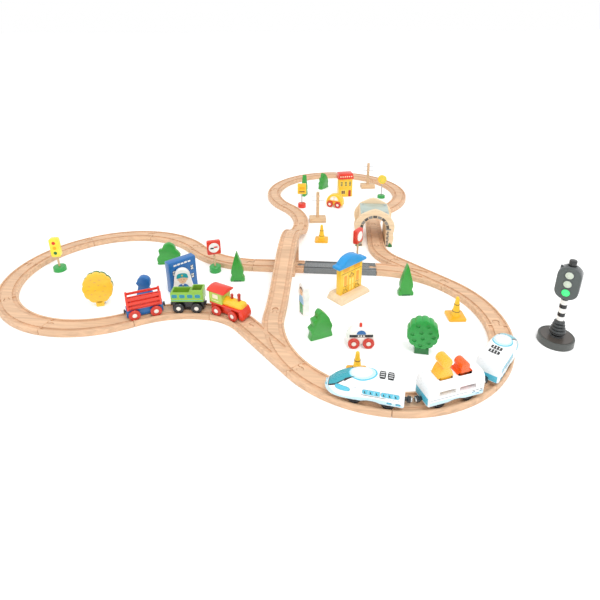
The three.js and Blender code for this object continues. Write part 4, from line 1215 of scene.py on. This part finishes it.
def station_building():
    piece = Piece("station_look", at=stands(-65, 97, 48))
    base = [(-41.5, 0), (41.5, 0), (41.5, 4), (34, 12.6), (32.6, 13), (-32.6, 13), (-34, 12.6), (-41.5, 4)]
    piece.slab(base, -21, 21, "pale_wood", 1.2, "y")
    piece.slab(rectangle(-31, 12.6, 31, 75, 0.8), -6, 6, "yellow", 0.7, "y")
    arch = smooth([(30, 78.6), (26.4, 82.2), (18, 88.6), (9, 91.6), (0, 92.5), (-9, 91.6), (-18, 88.6), (-26.4, 82.2), (-30, 78.6)], 5, False)
    roof = [(-38.6, 72), (38.6, 72), (40, 73.4)] + bend(37, 75.4, 3, 10, 90, 5) + arch + bend(-37, 75.4, 3, 90, 170, 5) + [(-40, 73.4)]
    piece.slab(roof, -9.5, 9.5, "roof_blue", 1.2, "y")
    piece.decal(rectangle(-29, 58.2, 29, 59.0, 0.2), 6, "brown", proud=0.25)
    for side in (-1, 1):
        piece.decal(rectangle(side * 15 - 9, 61.4, side * 15 + 9, 68.6, 0.6), 6, "deep_yellow", proud=0.2)
        for i in range(6):
            x = side * 15 - 7.5 + i * 3
            piece.decal(rectangle(x - 1.1, 62.2, x + 1.1, 67.8, 0.3), 6, "orange_print", proud=0.32)
        low = side * 17.4
        piece.decal(rectangle(low - 5.6, 31, low + 5.6, 55, 0.5), 6, "lemon", proud=0.2)
        piece.decal(rectangle(low - 4.2, 31.6, low + 4.2, 53.6, 0.5), 6, "orange_print", proud=0.32)
        piece.decal(rectangle(low - 5, 29, low + 5, 29.9, 0.2), 6, "brown", proud=0.3)
        for u, v, r in ((-5.6, 18, 1.6), (-2.8, 21, 1.9), (0.6, 22.6, 1.8), (3.6, 20.4, 1.8), (6, 17.4, 1.4), (-4.6, 24, 1.0), (2.4, 26, 1.0)):
            piece.decal(bend(low + u, v, r, 20, 300, 8) + bend(low + u, v, r - 0.7, 300, 20, 8), 6, "brown", proud=0.3)
        piece.decal(rectangle(low - 7, 14.6, low + 7, 15.3, 0.2), 6, "brown", proud=0.3)
        piece.decal(rectangle(side * 10.4 - 0.3, 15, side * 10.4 + 0.3, 57, 0.1), 6, "deep_yellow", proud=0.25)
    piece.decal(rectangle(-8.4, 14.6, 8.4, 45, 0.6), 6, "deep_yellow", proud=0.2)
    for low, high in ((-7.2, -0.5), (0.5, 7.2)):
        piece.decal(rectangle(low, 15.6, high, 43.8, 0.4), 6, "yellow", proud=0.32)
        piece.decal(rectangle(low + 1.4, 29, high - 1.4, 42, 0.3), 6, "lemon", proud=0.42)
        piece.decal(rectangle(low + 1.4, 17, high - 1.4, 26, 0.3), 6, "lemon", proud=0.42)
    for u, v, r in ((-5.4, 48.6, 1.6), (-2.2, 50.6, 2.0), (2.2, 50.6, 2.0), (5.4, 48.6, 1.6), (0, 53.6, 1.8)):
        piece.decal(bend(u, v, r, -30, 210, 8) + bend(u, v, r - 0.8, 210, -30, 8), 6, "brown", proud=0.3)
    piece.decal(rectangle(-7.4, 46.4, 7.4, 47.2, 0.2), 6, "brown", proud=0.3)
    piece.done(("station_building",), "yellow_paint")


def shop():
    at = stands(-92, 706, 16)
    piece = Piece("shop_look", at=at)
    piece.slab(rectangle(-22, 0, 22, 62.4, 0.8), -12, 12, "yellow", 0.8, "y")
    piece.slab([(-25, 60), (25, 60), (25, 62), (22.4, 77), (21, 78), (-21, 78), (-22.4, 77), (-25, 62)], -15, 15, "red", 1.2, "y")
    for x in (-17.5, -10.5, -3.5, 3.5, 10.5, 17.5):
        piece.decal(disc(x, 68.4, 2.1, 14), 15, "cream", proud=0.3)
    for x in (-14, 0, 14):
        piece.decal(rectangle(x - 4, 36, x + 4, 52, 0.4), 12, "lemon", proud=0.2)
        for row in range(3):
            for side in (-1, 1):
                piece.decal(rectangle(x + side * 1.7 - 1.3, 37.2 + row * 5, x + side * 1.7 + 1.3, 41 + row * 5, 0.3), 12, "black", proud=0.34)
    piece.decal(rectangle(9, 1, 17, 22, 0.6), 12, "dark_red", proud=0.25)
    piece.decal(rectangle(-15, 9, -1, 23, 0.6), 12, "lemon", proud=0.2)
    for low in (-13.8, -7.6):
        piece.decal(rectangle(low, 10.4, low + 5.4, 21.6, 0.4), 12, "brown", proud=0.34)
    piece.done(("shop_building",), "yellow_paint")


police_station()
station_building()
shop()

# ---------------------------------------------------------------- trees, signs and figures


def scalloped(u, v, half_u, half_v, lobes, swell=0.07, count=8):
    points = []
    for i in range(lobes * count):
        turn = 2 * math.pi * i / (lobes * count)
        r = 1 - swell + swell * abs(math.cos(lobes * turn / 2)) ** 0.6
        points.append((u + half_u * r * math.cos(turn), v + half_v * r * math.sin(turn)))
    return points


def round_tree():
    at = stands(60, -68, -4)
    crown = Piece("round_tree", at=at)
    crown.slab(scalloped(0, 37.5, 26, 28.4, 13), -9, 9, "green", 1.6, "y")
    made_crown = crown.done(("round_tree",), "green_paint")
    tools = []
    for x, z in ((-9, 54), (7, 55), (-3, 42), (11, 44), (-17, 38), (17, 35), (0, 31), (-13, 26), (10, 24), (-3, 17)):
        for side in (-1, 1):
            dimple = Piece("dimple", at=at)
            place = Matrix.Translation((x, side * 9, z)) @ Matrix.Rotation(math.radians(90 * side), 4, "X")
            dimple.lathe([(0.1, -2.4), (1.2, -2.3), (2.4, -1.4), (3.3, 0), (3.6, 1.4), (0.1, 1.4)], "dark_green", place, 18)
            tools.append(dimple.done())
    carve(made_crown, tools)
    trunk = Piece("round_tree_trunk", at=at)
    trunk.slab([(-11.5, 0), (12.5, 0), (11.5, 11.5), (-11, 11.5)], -9.2, 9.2, "dark_green", 1.0, "y")
    trunk.done(slot="green_paint")


def yellow_tree():
    piece = Piece("yellow_tree_look", at=stands(-552, 6, 20))
    crown, stem = scalloped(0, 40, 28.2, 33, 12, 0.06), [(-7, 0), (7, 0), (8, 13), (-8, 13)]
    for outline in (crown, stem):
        piece.slab(outline, -2.6, 7, "yellow", 1.2, "y")
        piece.slab(inset(outline, -0.01), -7, -2.4, "dark_green", 1.0, "y")
    for x, z, lean in ((-9, 60, 1), (6, 58, -1), (-14, 46, 0), (3, 47, 1), (14, 44, -1), (-5, 36, 1), (9, 33, 0), (-12, 28, -1), (2, 22, 1), (12, 24, 1), (-3, 54, 0), (-18, 38, 1)):
        mark = [(x - 2.2, z - lean * 0.8), (x + 2.2, z + lean * 0.8), (x + 2.0, z + lean * 0.8 + 0.9), (x - 2.0, z - lean * 0.8 + 0.9)]
        piece.decal(mark, 7, "tan", sides=(1,), proud=0.25)
    piece.done(("yellow_tree",), "yellow_paint")


PINE = [(-15, 0), (15, 0), (15.4, 6), (12.4, 12), (11.2, 14), (13.2, 20), (13, 26), (9.4, 40), (4.2, 58), (0.6, 68.4), (-0.6, 68.4)]
PINE += [(-4.2, 58), (-9.4, 40), (-13, 26), (-13.2, 20), (-11.2, 14), (-12.4, 12), (-15.4, 6)]
BUSH = [(-26, 6), (-23, 0), (23, 0), (26, 5), (22, 14), (26, 20), (21, 30), (17, 34), (14, 45), (2, 52), (-10, 47), (-14, 38), (-22, 36), (-21, 24), (-27, 16)]
DOG = [(-14, 0), (14, 0), (15.4, 12), (12, 22), (8.6, 28), (12, 33), (13, 40), (12.6, 48), (6, 54), (-3, 55), (-9, 51), (-11, 45), (-13.6, 42), (-10, 36), (-11.6, 29), (-15, 16)]
CLOUD = [(-21, 2), (-17, 0), (18, 0), (21, 4), (19, 14), (21, 22), (17, 32), (14, 40), (6, 50), (-2, 56), (-8, 50), (-9, 42), (-17, 39), (-16, 28), (-22, 22), (-19, 12)]
for name, outline, colour, scale, depth, x, y, turn_by in (
    ("bush", BUSH, "cloud_green", 1.0, 12, -482, 191, 14), ("pine_west", PINE, "cloud_green", 1.0, 14, -305, 131, 8),
    ("blue_dog", DOG, "blue", 1.0, 14, -470, 32, 8), ("cloud_bush", CLOUD, "cloud_green", 1.0, 14, -112, -48, 30),
    ("pine_middle", PINE, "cloud_green", 1.0, 14, 50, 113, 10), ("tree_north", PINE, "cloud_green", 1.0, 13, -222, 698, 78),
    ("bush_north", CLOUD, "cloud_green", 0.95, 14, -166, 776, 58),
):
    piece = Piece(name, at=stands(x, y, turn_by))
    drawn = [(u * scale, v * scale) for u, v in outline]
    piece.slab(smooth(drawn, 3) if outline is not PINE else drawn, -depth / 2, depth / 2, colour, 1.2, "y")
    if outline is PINE:
        piece.slab([(-8, 0), (8, 0), (8, 4), (-8, 4)], -depth / 2 - 0.2, depth / 2 + 0.2, "dark_green", 0.5, "y")
    piece.done(slot="green_paint")


def sign(name, x, y, degrees, foot, foot_height, foot_paint, post_paint, plate, plate_low, paint_name, prints, node=None, post=2.2, half=5.0):
    """A foot, a dowel and a plate with its prints."""
    piece = Piece(name, at=stands(x, y, degrees))
    profile = [(0.1, 0), (foot - 0.8, 0), (foot, 0.9), (foot, foot_height - 1.2), (foot - 1.2, foot_height), (0.1, foot_height)]
    piece.lathe(profile, foot_paint, sides=32)
    piece.bar((0, 0, foot_height - 1), (0, 0, plate_low + 4), post, post_paint, 16)
    piece.slab(plate, -half, half, paint_name, 1.0, "y")
    for outline, colour, proud in prints:
        piece.decal(outline, half, colour, proud=proud)
    piece.done((node,) if node else (), "yellow_paint" if node != "red_sign" else "red_paint")


sign("traffic_light_look", -718, 131, 14, 13.8, 11, "green", "dowel", rectangle(-10, 36, 10, 80, 4.5, 4), 36, "lemon_yellow", [
    (disc(0, 70, 3.8, 20), "red", 0.35), (disc(0, 58, 3.8, 20), "deep_yellow", 0.35), (disc(0, 46, 3.8, 20), "dark_green", 0.35)],
    "traffic_light", half=6.5)
bar_sign = [(disc(0, 60.5, 11.6, 32), "white", 0.3), (rectangle(-8, 57.6, -0.6, 61.4, 0.8), "ink", 0.42), (rectangle(-0.2, 59.6, 8, 63.4, 0.8), "red", 0.42)]
sign("red_sign_look", -365, 165, 24, 12.8, 14, "green", "dowel", rectangle(-15, 44, 15, 76, 3), 44, "red", bar_sign, "red_sign", half=5)
sign("red_sign_tunnel", -49, 250, 62, 10.4, 12, "green", "dowel", rectangle(-15, 48, 15, 81, 3), 48, "red", [
    (disc(0, 64.5, 11.6, 32), "white", 0.3)], half=5)
sign("square_sign", -218, 588, 8, 12, 13, "red", "steel_wire", rectangle(-13, 43, 13, 75, 1.6), 43, "yellow", [
    (rectangle(-8, 58, 8, 65, 0.8), "deep_yellow", 0.25), (rectangle(-8, 49, 8, 52, 0.6), "brown", 0.3)], half=4, post=1.6)
sign("round_sign", 25, 699, 26, 12, 9, "green", "steel_wire", disc(0, 61, 14, 36), 47, "yellow", [
    (disc(0, 61, 10.4, 30), "lime", 0.25), (disc(0, 61, 8.2, 30), "yellow", 0.36), (rectangle(-1, 55, 1, 67, 0.4), "lime", 0.46)], half=5, post=1.6)


def cone(name, x, y, degrees):
    piece = Piece(name, at=stands(x, y, degrees))
    piece.slab(rectangle(-16.5, -16.5, 16.5, 16.5, 3.5, 4), 0, 5.4, "deep_yellow", 1.2)
    profile = [(0.1, 4.6), (9.6, 4.8), (9.2, 6.2), (8.0, 10), (7.4, 14.6), (7.0, 15.4), (6.4, 17), (4.9, 29), (4.4, 30)]
    piece.lathe(profile + [(3.6, 38), (3.2, 42), (2.2, 43.8), (0.1, 44.2)], "yellow", sides=32)
    for low, r in ((15, 7.2), (29, 4.95)):
        piece.lathe([(r - 0.9, low - 0.5), (r + 0.25, low - 0.4), (r + 0.05, low + 0.7), (r - 1.2, low + 0.6)], "brown", sides=32, loop=True)
    piece.done(slot="yellow_paint")


cone("cone_front", -47, -139, 4)
cone("cone_right", 136, 40, 8)
cone("cone_north", -140, 353, 2)


def pole(name, x, y, degrees, height):
    piece = Piece(name, at=stands(x, y, degrees))
    piece.slab(rectangle(-23, -15, 23, 15, 2), 0, 13, "dowel", 1.4)
    piece.slab(rectangle(-23.2, -4, -21, 4, 0.6), 3, 9, "brown", 0.3)
    piece.bar((0, 0, 12), (0, 0, height), 4.4, "dowel", 20, 0.8)
    for z in (height - 12, height - 26):
        piece.bar((-18, 0, z), (18, 0, z), 0.9, "steel_wire", 10, 0.2)
    piece.done(slot="beech")


pole("pole_west", -161, 482, 8, 87)
pole("pole_north", -17, 797, 10, 86)


def pear(foot, waist, head, height):
    right = [(foot, 0), (waist - 1, height * 0.1), (waist, height * 0.3), (waist - 2, height * 0.46), (head + 2, height * 0.64), (head, height * 0.8)]
    crown = bend(0, height - head, head, 12, 90, 6)
    half = smooth(right + crown, 3, False)
    return half + [(-u, v) for u, v in half[::-1][1:]]


def policeman():
    piece = Piece("policeman_look", at=stands(-401, 62, 20))
    piece.slab(pear(13, 20, 14.6, 60), -6, 6, "white", 1.4, "y")
    face = smooth([(-7, 33), (-4, 29.6), (0, 28.8), (4, 29.6), (7, 33), (8.2, 38), (7.4, 43), (-7.4, 43), (-8.2, 38)], 3)
    for u in (-8.6, 8.6):
        piece.decal(disc(u, 38, 1.7, 12), 6, "skin", proud=0.25)
    piece.decal(face, 6, "skin", proud=0.3)
    piece.decal(smooth([(-11, 44), (-10.4, 40.6), (0, 42.6), (10.4, 40.6), (11, 44), (8.6, 50.4), (0, 52.4), (-8.6, 50.4)], 3), 6, "teal", proud=0.5)
    piece.decal(disc(0, 47.4, 1.8, 12), 6, "yellow", proud=0.65)
    coat = smooth([(-9, 2.5), (9, 2.5), (13, 9), (11.6, 20), (7, 26.6), (0, 28), (-7, 26.6), (-11.6, 20), (-13, 9)], 3)
    piece.decal(coat, 6, "blue", proud=0.3)
    piece.decal([(-2.2, 27.4), (0, 20), (2.2, 27.4)], 6, "white", proud=0.42)
    piece.decal([(-0.9, 25), (0.9, 25), (1.1, 17), (0, 15.4), (-1.1, 17)], 6, "ink", proud=0.55)
    for side in (-1, 1):
        arm = smooth([(side * 8.4, 23), (side * 12.6, 16), (side * 12, 9), (side * 9.4, 9.6), (side * 9.6, 16), (side * 6.6, 21)], 3)
        piece.decal(arm, 6, "teal", proud=0.45)
        piece.decal(disc(side * 10.6, 7.4, 1.8, 12), 6, "skin", proud=0.5)
        piece.decal(disc(side * 2.9, 37.4, 0.8, 10), 6, "ink", proud=0.45)
    piece.decal([(-2.2, 33.6), (0, 32.8), (2.2, 33.6), (0, 33.4)], 6, "dark_red", proud=0.45)
    for z in (6.5, 10.5):
        piece.decal(disc(0, z, 0.8, 10), 6, "yellow", proud=0.45)
    piece.done(("policeman",), "white_paint")


def standing_man():
    piece = Piece("standing_man_look", at=stands(-148, 20, -58))
    piece.slab(pear(11, 12.6, 12, 67), -6, 6, "white", 1.4, "y")
    piece.decal(smooth([(-5.4, 46), (-3, 42.6), (3, 42.6), (5.4, 46), (5.8, 51), (4.4, 54), (-4.4, 54), (-5.8, 51)], 3), 6, "skin", proud=0.3)
    piece.decal(smooth([(-6.2, 52), (-5.4, 57.6), (0, 60), (5.4, 57.6), (6.2, 52), (4, 55), (-4, 55)], 3), 6, "brown", proud=0.45)
    piece.decal([(-7, 25), (7, 25), (7.6, 36), (5.4, 41.6), (-5.4, 41.6), (-7.6, 36)], 6, "sky", proud=0.3)
    piece.decal([(-6.8, 25.4), (-6.2, 4), (-1, 4), (0, 20), (1, 4), (6.2, 4), (6.8, 25.4)], 6, "green", proud=0.34)
    for side in (-1, 1):
        piece.decal(smooth([(side * 6, 40), (side * 9.2, 33), (side * 9.4, 26), (side * 7.6, 26), (side * 6.8, 33)], 3), 6, "sky", proud=0.42)
        piece.decal(disc(side * 8.5, 24.4, 1.5, 10), 6, "skin", proud=0.42)
        piece.decal(disc(side * 2.0, 49.6, 0.6, 8), 6, "ink", proud=0.42)
        piece.decal(rectangle(side * 3.6 - 2.8, 2.4, side * 3.6 + 2.8, 4.4, 0.5), 6, "brown", proud=0.4)
    piece.done(("standing_man",), "white_paint")


round_tree()
yellow_tree()
policeman()
standing_man()

# ---------------------------------------------------------------- camera, lights and floor
floor_mesh = bpy.data.meshes.new("floor")
floor_mesh.from_pydata([(-60, -60, 0), (60, -60, 0), (60, 60, 0), (-60, 60, 0)], [], [(0, 1, 2, 3)])
floor = bpy.data.objects.new("floor", floor_mesh)
floor_material = bpy.data.materials.new("floor")
floor_material.use_nodes = True
floor_shader = floor_material.node_tree.nodes["Principled BSDF"]
floor_shader.inputs["Base Color"].default_value = (0.93, 0.93, 0.93, 1)
floor_shader.inputs["Roughness"].default_value = 0.8
floor_shader.inputs["Specular IOR Level"].default_value = 0.1
floor_shader.inputs["Emission Color"].default_value = (1, 1, 1, 1)
floor_shader.inputs["Emission Strength"].default_value = 0.16
floor_mesh.materials.append(floor_material)
bpy.context.scene.collection.objects.link(floor)

world = bpy.data.worlds.new("studio")
world.use_nodes = True
world.node_tree.nodes["Background"].inputs["Color"].default_value = (1, 1, 1, 1)
world.node_tree.nodes["Background"].inputs["Strength"].default_value = 1.0
bpy.context.scene.world = world


def area_light(name, place, target, size, watts):
    light = bpy.data.lights.new(name, "AREA")
    light.shape = "DISK"
    light.size = size
    light.energy = watts
    made_light = bpy.data.objects.new(name, light)
    made_light.location = place
    made_light.rotation_euler = (Vector(target) - Vector(place)).to_track_quat("-Z", "Y").to_euler()
    bpy.context.scene.collection.objects.link(made_light)


area_light("key", (0.9, -1.3, 2.4), (0, 0, 0), 1.2, 26)
area_light("fill", (-2.2, -1.0, 2.0), (0, 0, 0), 2.2, 6)

camera_data = bpy.data.cameras.new("camera")
camera_data.lens = 28.03
camera_data.shift_x, camera_data.shift_y = 0.0018, -0.1473
camera = bpy.data.objects.new("camera", camera_data)
camera.location = (ORIGIN + Vector((-62.7, -736.3, 508.8))) * MM
heading, pitch, roll = math.radians(97.09), math.radians(21.45), math.radians(0.39)
look = Vector((math.cos(heading) * math.cos(pitch), math.sin(heading) * math.cos(pitch), -math.sin(pitch)))
camera.rotation_euler = (look.to_track_quat("-Z", "Y").to_matrix() @ Matrix.Rotation(-roll, 3, "Z")).to_euler()
bpy.context.scene.collection.objects.link(camera)
bpy.context.scene.camera = camera
bpy.context.scene.view_settings.view_transform = "Standard"
